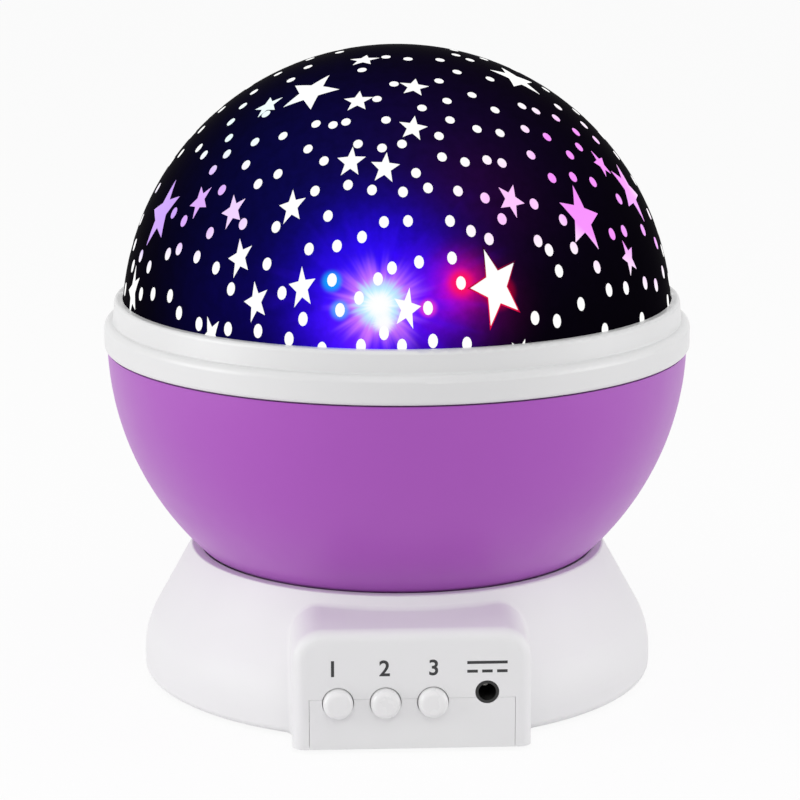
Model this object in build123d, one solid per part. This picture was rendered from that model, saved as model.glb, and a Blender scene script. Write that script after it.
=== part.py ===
"""Star night light projector: a geared, slowly turning ball lamp on a fixed skirt.

Frame: millimetres, +Z up, origin on the floor under the turning axis, control panel towards -Y.
A white skirt (base) carries the batteries, motor and controls. A purple bowl turns on the skirt's
bearing collar, and a printed dome with a white bayonet ring closes the bowl. A fixed post rises
through the bowl's hollow hub and holds the lamps at the middle of the ball.
"""
from build123d import *
import math
import os

# ---- overall form -----------------------------------------------------------------------------
BALL_R = 61.0                # outer radius of the printed dome
BALL_Z = 80.0                # height of the ball's centre
RING_R = 65.0                # largest radius of the white ring, and of the whole lamp
SKIRT_R = 57.2               # largest radius of the base skirt
PLATE_Z = 0.8                # underside of skirt and plate, the feet fill the rest
WALL = 2.2                   # moulded wall of bowl and skirt

# ---- base skirt -------------------------------------------------------------------------------
SKIRT_BEND_Z = 5.2           # where the upright edge starts to lean in
SKIRT_BEND_R = 18.7          # radius of that bend
SKIRT_LEAN = 28.8            # lean of the straight flank, degrees from upright
SKIRT_EDGE_ROUND = 1.7       # round of the bottom edge
RIM_Z = 29.6                 # top edge of the skirt
RIM_BORE = 44.4              # mouth in which the bowl turns
RIM_ROUND = 0.5              # round of the rim's two edges
DECK_Z = 24.5                # underside of the deck
DECK_TOP = 26.5
COLLAR_R = 19.0              # bearing collar on the deck
COLLAR_BORE = 15.3
COLLAR_LOW = 24.2
COLLAR_TOP = 27.6
WASHER_PLAY = 0.05           # air between the thrust washer and the bowl

# ---- control panel ----------------------------------------------------------------------------
PANEL_HALF = 25.0            # half width of the panel box
PANEL_FACE = -61.0           # y of the panel's face
PANEL_BACK = -40.0
PANEL_TOP = 26.3             # height of the face
PANEL_RISE = 0.9             # how far the box's roof climbs on its way back
PANEL_WALL = 2.0
PANEL_SHOULDER = 6.5         # round of the two upper corners
PANEL_EDGE = 2.5             # round between the face and the sides
PANEL_BLEND = 1.5            # hollow round where the box grows out of the skirt
TONGUE_HALF = 21.5           # half width of the lower face, which is part of the bottom plate
PARTING_Z = 11.7             # joint between upper and lower face
SEAM = 0.04                  # gap of that joint, a tight fit
BUTTON_XS = (-15.5, -5.6, 4.3)
BUTTON_Z = 10.9
BUTTON_R = 3.15
BUTTON_GAP = 0.18            # air round a cap in its hole
BUTTON_PROUD = 2.2           # how far a cap stands out, more than its 1.5 of travel
BUTTON_DOME = 1.3            # round of a cap's nose
KEEPER_R = 4.1               # flange that keeps a cap behind the wall
KEEPER_FRONT = -58.6
CAP_BACK = -57.4
JACK_X = 15.6
JACK_Z = 12.9
JACK_HOLE_R = 2.5            # hole in the panel, at its face
JACK_HOLE_DRAFT = 1.0        # degrees that the moulded hole narrows inwards
JACK_NOSE_R = 2.4            # nose of the socket, flush in that hole
JACK_BORE_R = 1.85           # socket bore, for a 3.5 mm barrel plug
JACK_BORE_LENGTH = 5.0
JACK_ROOM_R = 2.3            # wider room behind the bore, for the contacts
JACK_ROOM_BACK = -49.0
JACK_PIN_R = 0.65
JACK_PIN_FRONT = -54.8

# ---- bottom plate and battery box -------------------------------------------------------------
PLATE_R = 53.0
PLATE_TOP = 2.8
PLATE_PLAY = 0.15            # play between the plate's tongue and the walls of the panel box
BOX_HALF = 22.0              # inside of the battery box, x
BOX_FRONT = -18.6            # inside of the battery box, y
BOX_BACK = 30.6
BOX_WALL = 1.4
BOX_CEILING = 14.0
BOX_TOP = 16.0
OPENING_HALF = 22.8          # opening in the plate, wider than the box by a ledge for the door
DOOR_GAP = 0.3
DOOR_THICK = 1.6
TAB_HALF = 1.5               # half width of a hinge tab
TAB_SLOT_R = 4.1             # room that a tab turns in
FINGER_HALF = 1.2            # friction finger at the door's far end
FINGER_TOP = 7.0
CELL_R = 5.2
CELL_LENGTH = 43.5
CELL_PITCH = 10.8
CELL_COUNT = 4
CELL_Z = 8.6
NUB = 1.0
NUB_R = 1.9
SCREW_CIRCLE = 44.0          # screws between plate and skirt
SCREW_ANGLES = (45, 135, 225, 315)
SCREW_SEAT = 4.0
SCREW_POST_LOW = 6.0         # lower end of the skirt's screw posts
FOOT_CIRCLE = 45.0
FOOT_ANGLES = (0, 90, 180, 270)
FOOT_R = 4.2
FOOT_POCKET = 0.8            # depth of the pocket that a foot sits in

# ---- drive ------------------------------------------------------------------------------------
MODULE = 1.0
GEAR_TEETH = 56
PINION_TEETH = 14
ADDENDUM = 0.8
DEDENDUM = 1.1
TOOTH_THINNING = 0.1
GEAR_LOW = 19.6
GEAR_TOP = 23.6
MOTOR_X = MODULE * (GEAR_TEETH + PINION_TEETH) / 2
MOTOR_R = 9.8
MOTOR_LOW = 5.0
MOTOR_TOP = 17.0
EAR_Y = 13.5
EAR_LOW = 12.0
EAR_TOP = 13.2
SHAFT_R = 1.5

# ---- bowl -------------------------------------------------------------------------------------
BOWL_ARC_R = 63.88           # arc of the bowl's side and its centre
BOWL_ARC_X = 0.47
BOWL_ARC_Z = 76.42
BOWL_LOW = 28.6
BOWL_FOOT_ROUND = 6.0
BOWL_RIM_Z = 74.6
HUB_R = 15.0
HUB_BORE = 9.5
HUB_SCREW_CIRCLE = 12.25
HUB_ANGLES = (90, 210, 330)
HUB_SCREW_SEAT = GEAR_LOW + 2.2
RIB_TOP = BOWL_LOW + 6.0     # ribs on the bowl's floor
SPIGOT_R = 61.9              # upstand that the ring turns on
SPIGOT_BORE = 59.6
SPIGOT_TOP = 79.7
TRAY_R = 59.0
TRAY_LOW = 70.0
TRAY_TOP = 71.6
TRAY_BORE = 13.5
TRAY_BOSS_CIRCLE = 54.0
TRAY_ANGLES = (30, 150, 270)

# ---- bayonet and dome -------------------------------------------------------------------------
LUG_ANGLES = (45, 135, 225, 315)
LUG_HALF = 4.0               # half angle of a lug
LUG_R = 60.9
LUG_LOW = 76.3
LUG_TOP = 77.8
TWIST = 15.0                 # turn that frees the cover
TRACK_R = 60.7
TRACK_LOW = 76.0
TRACK_TOP = 78.1
TRACK_OUT = SPIGOT_R + 1.1   # past the spigot's outside, so that the track is cut right through
TRACK_PLAY = 0.6             # play of a lug in its track, degrees
RING_LOW = 74.9
RING_BORE = 62.4
RING_STEP_Z = 81.1
RING_UPPER_R = 63.0
RING_TOP = 85.9
FLANGE_R = 62.1
FLANGE_LOW = 80.0
FLANGE_TOP = 81.2
DOME_R = 60.5                # clear dome under the print
DOME_WALL = 1.2
MASK_WALL = 0.35             # printed film with the stars cut out of it

# Each star: azimuth from the front, elevation, tip radius, turn. All stars repeat on the back.
STARS = (
    (-41, 61, 5.6, 18), (-32, 76, 3.0, 0), (68, 63, 5.8, -20), (-55, 55, 3.0, 0),
    (-18, 60, 3.2, 0), (5, 65, 3.0, 0), (2, 52, 3.0, 5), (-15, 44, 2.9, 5),
    (-6, 42, 2.9, 5), (-28, 33, 3.1, 8), (25, 34, 2.9, -10), (42, 29, 5.6, -8),
    (66, 31, 4.8, -20), (60, 39, 2.8, 0), (55, 18, 2.9, -10), (-67, 27, 5.6, 10),
    (-55, 31, 3.1, 15), (-43, 31, 3.0, 10), (-38, 21, 3.0, 10), (-32, 13, 2.8, 5),
    (-22, 17, 2.9, 0), (-1, 14, 2.6, -5), (17, 17, 5.0, -22), (-42, 7, 2.2, 0),
    (21, 5, 1.6, 0), (-73, 9, 3.6, 12),
)
STAR_WAIST = 0.42            # inner radius of a star as a share of its tip radius

# ---- lamp post --------------------------------------------------------------------------------
POST_R = 7.0
POST_BORE = 5.0
POST_FLANGE_R = 16.0
POST_FLANGE_TOP = 17.6
POST_TOP = 79.0
POST_HEAD_R = 9.0            # flange under the lamp board
POST_SCREW_CIRCLE = 13.0
POST_DOOR_TOP = 23.0         # slot through which the lamp lead enters the post
LAMP_BOARD_R = 12.0
LAMP_BOARD_TOP = 80.6
LAMP_SCREW_CIRCLE = 7.2
LAMP_SCREW_ANGLES = (36, 156, 276)
LAMP_R = 2.5                 # 5 mm lamps
LAMP_BODY = 6.1              # straight part of a lamp's lens
LAMP_CIRCLE = 6.0
LAMP_ANGLES = {"led_blue": 216, "led_red": 336, "led_green": 96}

# ---- control board ----------------------------------------------------------------------------
BOARD_LOW = 5.0
BOARD_TOP = 6.6
BOARD_HALF = 22.0
BOARD_FRONT = -55.5
BOARD_BACK = -34.0
BOARD_SCREWS = ((-18.0, -38.0), (18.0, -38.0))
SWITCH_HALF = 4.0
SWITCH_FRONT = -53.0
SWITCH_BACK = -44.5
PLUNGER_HALF = 1.5
PLUNGER_ROOM = 1.8           # half width of the switch's mouth
LEAD_R = 0.8
LEAD_BEND = 3.0              # bend radius of the leads
LEAD_ROW_Y = -37.0           # where the motor's and the batteries' leads leave the board
LEAD_Z = 10.0                # height at which they cross to their places


# ---- small helpers ----------------------------------------------------------------------------
def disc(radius, low, high, x=0.0, y=0.0):
    """Upright cylinder between two heights."""
    return Pos(x, y, low) * extrude(Circle(radius), high - low)


def tube(outer, inner, low, high, x=0.0, y=0.0):
    """Upright tube between two heights."""
    return Pos(x, y, low) * extrude(Circle(outer) - Circle(inner), high - low)


def block(x0, x1, y0, y1, z0, z1):
    """Box between two corners."""
    return Pos((x0 + x1) / 2, (y0 + y1) / 2, (z0 + z1) / 2) * Box(x1 - x0, y1 - y0, z1 - z0)


def barrel(radius, y0, y1, x, z):
    """Cylinder along Y between two depths."""
    return Pos(x, y0, z) * Rot(-90, 0, 0) * extrude(Circle(radius), y1 - y0)


def drafted_barrel(radius, draft, y0, y1, x, z):
    """Barrel along Y that narrows from its first end by an angle of draft."""
    far_radius = radius - (y1 - y0) * math.tan(math.radians(draft))
    cone = Cone(radius, far_radius, y1 - y0, align=(Align.CENTER, Align.CENTER, Align.MIN))
    return Pos(x, y0, z) * Rot(-90, 0, 0) * cone


def turned(face, arc=360.0):
    """Turn a profile, drawn as radius and height, about the lamp's axis."""
    return revolve(Plane.XZ * face, Axis.Z, revolution_arc=arc)


def outline(*points):
    """Closed face through points given as radius and height."""
    return make_face(Polyline(*points, close=True))


def rounded(face, *corners):
    """Round the corners of a flat face, each given as (x, y, radius)."""
    for x, y, radius in corners:
        corner = face.vertices().sort_by_distance(Vector(x, y))[0]
        face = fillet(corner, radius)
    return face


def polar(radius, degrees):
    """Point on a circle about the axis."""
    return radius * math.cos(math.radians(degrees)), radius * math.sin(math.radians(degrees))


def screw(x, y, seat, head_r, head_h, shank_r, length):
    """Screw driven downwards: its head stands on the seat, its shank goes into the part below."""
    return disc(head_r, seat, seat + head_h, x, y) + disc(shank_r, seat - length, seat, x, y)


def lead(points):
    """Insulated lead along straight runs joined by tangent arcs."""
    path = FilletPolyline(*points, radius=LEAD_BEND)
    start = Plane(origin=path @ 0, z_dir=path % 0)
    return sweep(start * Circle(LEAD_R), path=path)


def save(name, *solids):
    """Write one sub-part; pieces that repeat stay separate solids of one node."""
    shape = solids[0] if len(solids) == 1 else Compound(children=list(solids))
    export_step(shape, f"parts/{name}.step")


# ---- base -------------------------------------------------------------------------------------
def skirt_solid(inset, low, high):
    """Turned body of the skirt, drawn inset from its outside, between two heights."""
    radius = SKIRT_R - inset
    corner = radius - SKIRT_EDGE_ROUND
    corner_z = PLATE_Z + SKIRT_EDGE_ROUND
    bend = JernArc((radius, SKIRT_BEND_Z), (0, 1), SKIRT_BEND_R, SKIRT_LEAN)
    knee = bend @ 1
    rise = RIM_Z - knee.Y
    top_r = knee.X - rise * math.tan(math.radians(SKIRT_LEAN))
    edges = [
        Line((0, PLATE_Z), (corner, PLATE_Z)),
        RadiusArc((corner, PLATE_Z), (radius, corner_z), -SKIRT_EDGE_ROUND),
        Line((radius, corner_z), (radius, SKIRT_BEND_Z)),
        bend,
        Line(knee, (top_r, RIM_Z)),
        Line((top_r, RIM_Z), (0, RIM_Z)),
        Line((0, RIM_Z), (0, PLATE_Z)),
    ]
    face = rounded(make_face(edges), (top_r, RIM_Z, RIM_ROUND))
    return turned(face) & disc(SKIRT_R + 1, low, high)


def panel_box():
    """Outer form of the control panel, with rounded shoulders and front edges."""
    back_top = PANEL_TOP + PANEL_RISE
    side = Polyline((PANEL_FACE, PLATE_Z), (PANEL_FACE, PANEL_TOP), (PANEL_BACK, back_top),
                    (PANEL_BACK, PLATE_Z), close=True)
    box = Pos(-PANEL_HALF, 0, 0) * extrude(Plane.YZ * make_face(side), 2 * PANEL_HALF)
    roof = box.edges().filter_by(lambda e: e.center().Z > PANEL_TOP and abs(e.center().X) > 1)
    box = fillet(roof, PANEL_SHOULDER)
    front = box.faces().sort_by(Axis.Y)[0].edges()
    front = front.filter_by(lambda e: e.center().Z > PLATE_Z + 0.1)
    return fillet(front, PANEL_EDGE)


def panel_holes():
    """Holes for the three buttons and the power socket."""
    back = PANEL_FACE + 2 * PANEL_WALL
    holes = [barrel(BUTTON_R + BUTTON_GAP, PANEL_FACE, back, x, BUTTON_Z) for x in BUTTON_XS]
    return holes + [drafted_barrel(JACK_HOLE_R, JACK_HOLE_DRAFT, PANEL_FACE, back, JACK_X, JACK_Z)]


def panel_hollow():
    """Room inside the panel box, with shoulders that keep the wall even."""
    half = PANEL_HALF - PANEL_WALL
    room = block(-half, half, PANEL_FACE + PANEL_WALL, PANEL_BACK, PLATE_Z - 1, DECK_Z - 0.4)
    shoulders = room.edges().filter_by(Axis.Y).group_by(Axis.Z)[-1]
    return fillet(shoulders, PANEL_SHOULDER - PANEL_WALL)


def base_outside():
    """Skirt and panel box as one solid body, blended where the box grows out of the flank."""
    skirt = skirt_solid(0, PLATE_Z, RIM_Z)
    box = panel_box()
    body = skirt + box
    return fillet(new_edges(skirt, box, combined=body), PANEL_BLEND)


def base_shell():
    """Skirt, deck, bearing collar and upper panel in one moulding, with four screw posts."""
    inside = PANEL_FACE + PANEL_WALL
    shell = base_outside()
    shell -= skirt_solid(WALL, PLATE_Z - 1, DECK_Z)
    shell -= disc(RIM_BORE, DECK_TOP, RIM_Z + 1)
    shell -= panel_hollow()
    shell += disc(COLLAR_R, COLLAR_LOW, COLLAR_TOP)
    shell -= disc(COLLAR_BORE, COLLAR_LOW - 1, COLLAR_TOP + 1)
    tongue = TONGUE_HALF + SEAM
    shell -= block(-tongue, tongue, PANEL_FACE - 1, inside + 0.1, PLATE_Z - 1, PARTING_Z)
    shell -= panel_holes()
    for angle in SCREW_ANGLES:
        x, y = polar(SCREW_CIRCLE, angle)
        shell += disc(3.2, SCREW_POST_LOW, DECK_Z, x, y)
        shell -= disc(1.3, SCREW_POST_LOW - 1, SCREW_POST_LOW + 10, x, y)
    return shell


def hinge_barrel(radius, x0, x1):
    """Cylinder along X about the battery door's hinge line."""
    return Pos(x0, BOX_FRONT + DOOR_GAP, PLATE_Z) * Rot(0, 90, 0) * extrude(Circle(radius), x1 - x0)


def bottom_plate():
    """Round plate with the battery box, the lower panel face and the bosses of the drive."""
    plate = disc(PLATE_R, PLATE_Z, PLATE_TOP)
    width = TONGUE_HALF - SEAM
    inside = PANEL_FACE + PANEL_WALL
    plate += block(-width, width, PANEL_FACE, inside + 1, PLATE_Z, PLATE_TOP)
    room = PANEL_HALF - PANEL_WALL - PLATE_PLAY
    plate += block(-room, room, inside + PLATE_PLAY, -45.0, PLATE_Z, PLATE_TOP)
    plate += block(-width, width, PANEL_FACE, inside, PLATE_Z, PARTING_Z - SEAM)
    plate -= panel_holes()
    outer = OPENING_HALF + BOX_WALL
    plate += block(-outer, outer, BOX_FRONT - BOX_WALL, BOX_BACK + BOX_WALL, PLATE_Z, BOX_TOP)
    plate -= block(-BOX_HALF, BOX_HALF, BOX_FRONT, BOX_BACK, PLATE_Z - 1, BOX_CEILING)
    plate -= block(-OPENING_HALF, OPENING_HALF, BOX_FRONT, BOX_BACK, PLATE_Z - 1, PLATE_TOP - 0.2)
    slot_zone = block(-BOX_HALF, BOX_HALF, BOX_FRONT - 6, BOX_FRONT, PLATE_TOP, PLATE_TOP + 6)
    for x in (-CELL_PITCH, CELL_PITCH):
        slot = hinge_barrel(TAB_SLOT_R, x - TAB_HALF - 0.4, x + TAB_HALF + 0.4)
        plate -= slot & slot_zone
    for angle in SCREW_ANGLES:
        x, y = polar(SCREW_CIRCLE, angle)
        plate += disc(4.4, PLATE_TOP, SCREW_POST_LOW, x, y)
        plate -= disc(3.0, PLATE_Z - 1, SCREW_SEAT, x, y)
        plate -= disc(1.6, SCREW_SEAT - 1, SCREW_POST_LOW + 1, x, y)
    for angle in FOOT_ANGLES:
        x, y = polar(FOOT_CIRCLE, angle)
        plate -= disc(FOOT_R + 0.1, PLATE_Z - 1, PLATE_Z + FOOT_POCKET, x, y)
    for y in (-EAR_Y, EAR_Y):
        plate += disc(3.0, PLATE_TOP, EAR_LOW, MOTOR_X, y)
        plate -= disc(1.0, 4.0, EAR_LOW + 1, MOTOR_X, y)
    for x, y in BOARD_SCREWS:
        plate += disc(2.6, PLATE_TOP, BOARD_LOW, x, y)
        plate -= disc(1.0, PLATE_Z + 1.0, BOARD_LOW + 1, x, y)
    for angle in HUB_ANGLES:
        x, y = polar(POST_SCREW_CIRCLE, angle)
        plate -= disc(0.9, BOX_CEILING + 0.3, BOX_TOP + 1, x, y)
    return plate


def battery_door():
    """Flush door with a friction finger and two tabs that hook over the plate between the cells."""
    half = OPENING_HALF - DOOR_GAP
    front = BOX_FRONT + DOOR_GAP
    back = BOX_BACK - DOOR_GAP
    door = block(-half, half, front, back, PLATE_Z, PLATE_Z + DOOR_THICK)
    tab = Polyline((front + 1.2, 2.0), (front + 1.2, 4.1), (front - 1.9, 4.1), (front - 1.9, 3.0),
                   (front + 0.2, 3.0), (front + 0.2, 2.0), close=True)
    for x in (-CELL_PITCH, CELL_PITCH):
        door += Pos(x - TAB_HALF, 0, 0) * extrude(Plane.YZ * make_face(tab), 2 * TAB_HALF)
    door += block(-FINGER_HALF, FINGER_HALF, back - 1.2, back - 0.2, PLATE_Z + 1.0, FINGER_TOP)
    grip = Pos(0, back - 7, PLATE_Z) * extrude(SlotOverall(16, 5), 0.6)
    return door - grip


def rubber_feet():
    """Four round rubber pads in shallow pockets; they stand on the floor."""
    feet = []
    for angle in FOOT_ANGLES:
        x, y = polar(FOOT_CIRCLE, angle)
        pad = disc(FOOT_R, 0, PLATE_Z + FOOT_POCKET, x, y)
        feet.append(fillet(pad.edges().group_by(Axis.Z)[0], 0.4))
    return feet


def base_screws():
    """Screws driven upwards through the plate into the skirt's posts."""
    screws = []
    for angle in SCREW_ANGLES:
        x, y = polar(SCREW_CIRCLE, angle)
        head = disc(2.6, SCREW_SEAT - 1.8, SCREW_SEAT, x, y)
        screws.append(head + disc(1.2, SCREW_SEAT, SCREW_SEAT + 10, x, y))
    return screws


def battery_cells():
    """Four AAA cells side by side, every second one turned end for end."""
    cells = []
    middle = (BOX_FRONT + BOX_BACK) / 2
    start = middle - (CELL_LENGTH + NUB) / 2
    for index in range(CELL_COUNT):
        x = (index - 1.5) * CELL_PITCH
        cell = barrel(CELL_R, start, start + CELL_LENGTH, x, CELL_Z)
        cell += barrel(NUB_R, start + CELL_LENGTH, start + CELL_LENGTH + NUB, x, CELL_Z)
        if index % 2:
            cell = Pos(2 * x, 2 * middle, 0) * Rot(0, 0, 180) * cell
        cells.append(cell)
    return cells


def contact_leaf(x, wall, inward):
    """Sprung contact: a plate on the box wall with a bow that reaches the cell's end."""
    reach = (BOX_BACK - BOX_FRONT - CELL_LENGTH - NUB) / 2
    thick = 0.4
    bow = Polyline((0, -4.5), (0, 4.5), (thick, 4.5), (thick, 2.8), (reach, 0.5), (reach, -0.5),
                   (thick, -2.8), (thick, -4.5), close=True)
    leaf = Pos(-3.5, 0, 0) * extrude(Plane.YZ * make_face(bow), 7.0)
    return Pos(x, wall, CELL_Z) * Rot(0, 0, 0 if inward > 0 else 180) * leaf


def battery_contacts(flat_ends):
    """Contacts of one kind: those that touch the cells' flat ends, or those that touch the nubs."""
    leaves = []
    for index in range(CELL_COUNT):
        x = (index - 1.5) * CELL_PITCH
        at_front = (index % 2 == 0) == flat_ends
        wall = BOX_FRONT if at_front else BOX_BACK
        leaves.append(contact_leaf(x, wall, 1 if at_front else -1))
    return leaves


# ---- controls ---------------------------------------------------------------------------------
def control_board():
    """Circuit board behind the panel."""
    board = block(-BOARD_HALF, BOARD_HALF, BOARD_FRONT, BOARD_BACK, BOARD_LOW, BOARD_TOP)
    for x, y in BOARD_SCREWS:
        board -= disc(1.3, BOARD_LOW - 1, BOARD_TOP + 1, x, y)
    return board


def switch_bodies():
    """Housings of the three latching push switches, open at the front for their plungers."""
    bodies = []
    for x in BUTTON_XS:
        body = block(x - SWITCH_HALF, x + SWITCH_HALF, SWITCH_FRONT, SWITCH_BACK,
                     BOARD_TOP, BOARD_TOP + 2 * SWITCH_HALF)
        body -= block(x - PLUNGER_ROOM, x + PLUNGER_ROOM, SWITCH_FRONT - 1, SWITCH_BACK - 1.5,
                      BUTTON_Z - PLUNGER_ROOM, BUTTON_Z + PLUNGER_ROOM)
        bodies.append(body)
    return bodies


def button_cap(x):
    """Round domed cap with a keeper flange behind the panel wall."""
    nose = PANEL_FACE - BUTTON_PROUD
    cap = barrel(BUTTON_R, nose, CAP_BACK, x, BUTTON_Z)
    cap = fillet(cap.faces().sort_by(Axis.Y)[0].edges(), BUTTON_DOME)
    return cap + barrel(KEEPER_R, KEEPER_FRONT, CAP_BACK, x, BUTTON_Z)


def switch_plunger(x):
    """Square plunger between the cap and the inside of the switch."""
    return block(x - PLUNGER_HALF, x + PLUNGER_HALF, CAP_BACK, SWITCH_FRONT + 5,
                 BUTTON_Z - PLUNGER_HALF, BUTTON_Z + PLUNGER_HALF)


def dc_jack_body():
    """Moulded socket on the board: a guide bore for the plug's barrel and a wider contact room."""
    wall = PANEL_FACE + PANEL_WALL
    bore_end = PANEL_FACE + JACK_BORE_LENGTH
    body = block(JACK_X - 4.0, JACK_X + 4.0, bore_end, JACK_ROOM_BACK + 3, BOARD_TOP, JACK_Z + 4.0)
    body += barrel(3.4, wall, bore_end, JACK_X, JACK_Z)
    body += barrel(JACK_NOSE_R, PANEL_FACE, wall, JACK_X, JACK_Z)
    body -= barrel(JACK_BORE_R, PANEL_FACE - 1, bore_end, JACK_X, JACK_Z)
    return body - barrel(JACK_ROOM_R, bore_end, JACK_ROOM_BACK, JACK_X, JACK_Z)


def dc_jack_pin():
    """Centre pin of the socket, set back behind its mouth."""
    return barrel(JACK_PIN_R, JACK_PIN_FRONT, JACK_ROOM_BACK, JACK_X, JACK_Z)


# ---- drive ------------------------------------------------------------------------------------
def involute(angle):
    """Involute function of a pressure angle in radians."""
    return math.tan(angle) - angle


def gear_outline(teeth):
    """Outline of a spur gear with 20 degree involute flanks, one tooth pointing along +X."""
    pitch_r = MODULE * teeth / 2
    pressure = math.radians(20)
    base_r = pitch_r * math.cos(pressure)
    root_r = pitch_r - DEDENDUM
    tip_r = pitch_r + ADDENDUM
    half_tooth = (math.pi * MODULE / 2 - TOOTH_THINNING) / (2 * pitch_r)
    radii = (root_r, max(base_r, root_r + 0.2), pitch_r, tip_r)
    flank = []
    for radius in radii:
        slope = math.acos(min(1.0, base_r / radius))
        flank.append((radius, half_tooth + involute(pressure) - involute(slope)))
    points = []
    for tooth in range(teeth):
        middle = 2 * math.pi * tooth / teeth
        for radius, half in flank:
            points.append((radius * math.cos(middle - half), radius * math.sin(middle - half)))
        for radius, half in reversed(flank):
            points.append((radius * math.cos(middle + half), radius * math.sin(middle + half)))
    return make_face(Polyline(*points, close=True))


def drive_gear():
    """Large gear under the deck, with a thinned web and three counterbored screw holes."""
    gear = Pos(0, 0, GEAR_LOW) * extrude(gear_outline(GEAR_TEETH), GEAR_TOP - GEAR_LOW)
    gear -= disc(HUB_BORE, GEAR_LOW - 1, GEAR_TOP + 1)
    gear -= tube(24.0, 17.0, GEAR_LOW, GEAR_LOW + 2.0)
    for angle in HUB_ANGLES:
        x, y = polar(HUB_SCREW_CIRCLE, angle)
        gear -= disc(2.4, GEAR_LOW - 1, HUB_SCREW_SEAT, x, y)
        gear -= disc(1.3, GEAR_LOW, GEAR_TOP + 1, x, y)
    return gear


def gear_screws():
    """Screws driven upwards through the gear into the bowl's hub."""
    screws = []
    for angle in HUB_ANGLES:
        x, y = polar(HUB_SCREW_CIRCLE, angle)
        head = disc(2.1, HUB_SCREW_SEAT - 1.5, HUB_SCREW_SEAT, x, y)
        screws.append(head + disc(1.1, HUB_SCREW_SEAT, HUB_SCREW_SEAT + 6.0, x, y))
    return screws


def motor_body():
    """Small geared motor with two mounting ears and a bushed nose."""
    motor = disc(MOTOR_R, MOTOR_LOW, MOTOR_TOP, MOTOR_X, 0)
    motor = fillet(motor.edges().group_by(Axis.Z)[-1], 0.8)
    motor += disc(3.5, MOTOR_TOP - 1, MOTOR_TOP + 0.8, MOTOR_X, 0)
    ears = Rot(0, 0, 90) * SlotOverall(2 * EAR_Y + 7, 7)
    motor += Pos(MOTOR_X, 0, EAR_LOW) * extrude(ears, EAR_TOP - EAR_LOW)
    motor -= disc(SHAFT_R + 0.08, EAR_LOW, MOTOR_TOP + 2, MOTOR_X, 0)
    for y in (-EAR_Y, EAR_Y):
        motor -= disc(1.3, EAR_LOW - 1, EAR_TOP + 1, MOTOR_X, y)
    return motor


def motor_shaft():
    """Steel output shaft."""
    return disc(SHAFT_R, EAR_LOW + 0.5, GEAR_TOP + 0.6, MOTOR_X, 0)


def motor_pinion():
    """Pinion on the shaft, turned half a pitch so that a gap faces the gear."""
    pinion = extrude(gear_outline(PINION_TEETH), GEAR_TOP - GEAR_LOW + 0.6)
    pinion = Pos(MOTOR_X, 0, GEAR_LOW - 0.2) * Rot(0, 0, 180 / PINION_TEETH) * pinion
    return pinion - disc(SHAFT_R, GEAR_LOW - 1, GEAR_TOP + 2, MOTOR_X, 0)


# ---- turning bowl -----------------------------------------------------------------------------
def bowl_arc(inset, high, low):
    """Arc of the bowl's side between two heights, from the upper to the lower."""
    radius = BOWL_ARC_R - inset
    upper = math.degrees(math.asin((high - BOWL_ARC_Z) / radius))
    lower = math.degrees(math.asin((low - BOWL_ARC_Z) / radius))
    return CenterArc((BOWL_ARC_X, BOWL_ARC_Z), radius, upper, lower - upper)


def bowl_solid():
    """Filled outer form of the bowl, up to its rim."""
    side = bowl_arc(0, BOWL_RIM_Z, BOWL_LOW)
    face = make_face([
        side,
        Line(side @ 1, (0, BOWL_LOW)),
        Line((0, BOWL_LOW), (0, BOWL_RIM_Z)),
        Line((0, BOWL_RIM_Z), side @ 0),
    ])
    corner = side @ 1
    return turned(rounded(face, (corner.X, corner.Y, BOWL_FOOT_ROUND)))


def bowl_hollow():
    """Inside of the bowl, between its floor and its rim."""
    floor = BOWL_LOW + WALL
    side = bowl_arc(WALL, 72.2, floor)
    return turned(make_face([
        side,
        Line(side @ 1, (0, floor)),
        Line((0, floor), (0, SPIGOT_TOP + 1)),
        Line((0, SPIGOT_TOP + 1), (SPIGOT_BORE, SPIGOT_TOP + 1)),
        Line((SPIGOT_BORE, SPIGOT_TOP + 1), (SPIGOT_BORE, BOWL_RIM_Z)),
        Line((SPIGOT_BORE, BOWL_RIM_Z), side @ 0),
    ]))


def bayonet_track(angle):
    """L-shaped track in the spigot: a level run for the twist and an entry up to the edge."""
    sweep_angle = TWIST + 2 * (LUG_HALF + TRACK_PLAY)
    entry_angle = 2 * (LUG_HALF + TRACK_PLAY)
    above = SPIGOT_TOP + 1
    run = outline((TRACK_R, TRACK_LOW), (TRACK_OUT, TRACK_LOW), (TRACK_OUT, TRACK_TOP),
                  (TRACK_R, TRACK_TOP))
    way_in = outline((TRACK_R, TRACK_LOW), (TRACK_OUT, TRACK_LOW), (TRACK_OUT, above),
                     (TRACK_R, above))
    first = angle - LUG_HALF - TRACK_PLAY
    level_run = Rot(0, 0, first) * turned(run, sweep_angle)
    return level_run + Rot(0, 0, first + TWIST) * turned(way_in, entry_angle)


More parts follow.
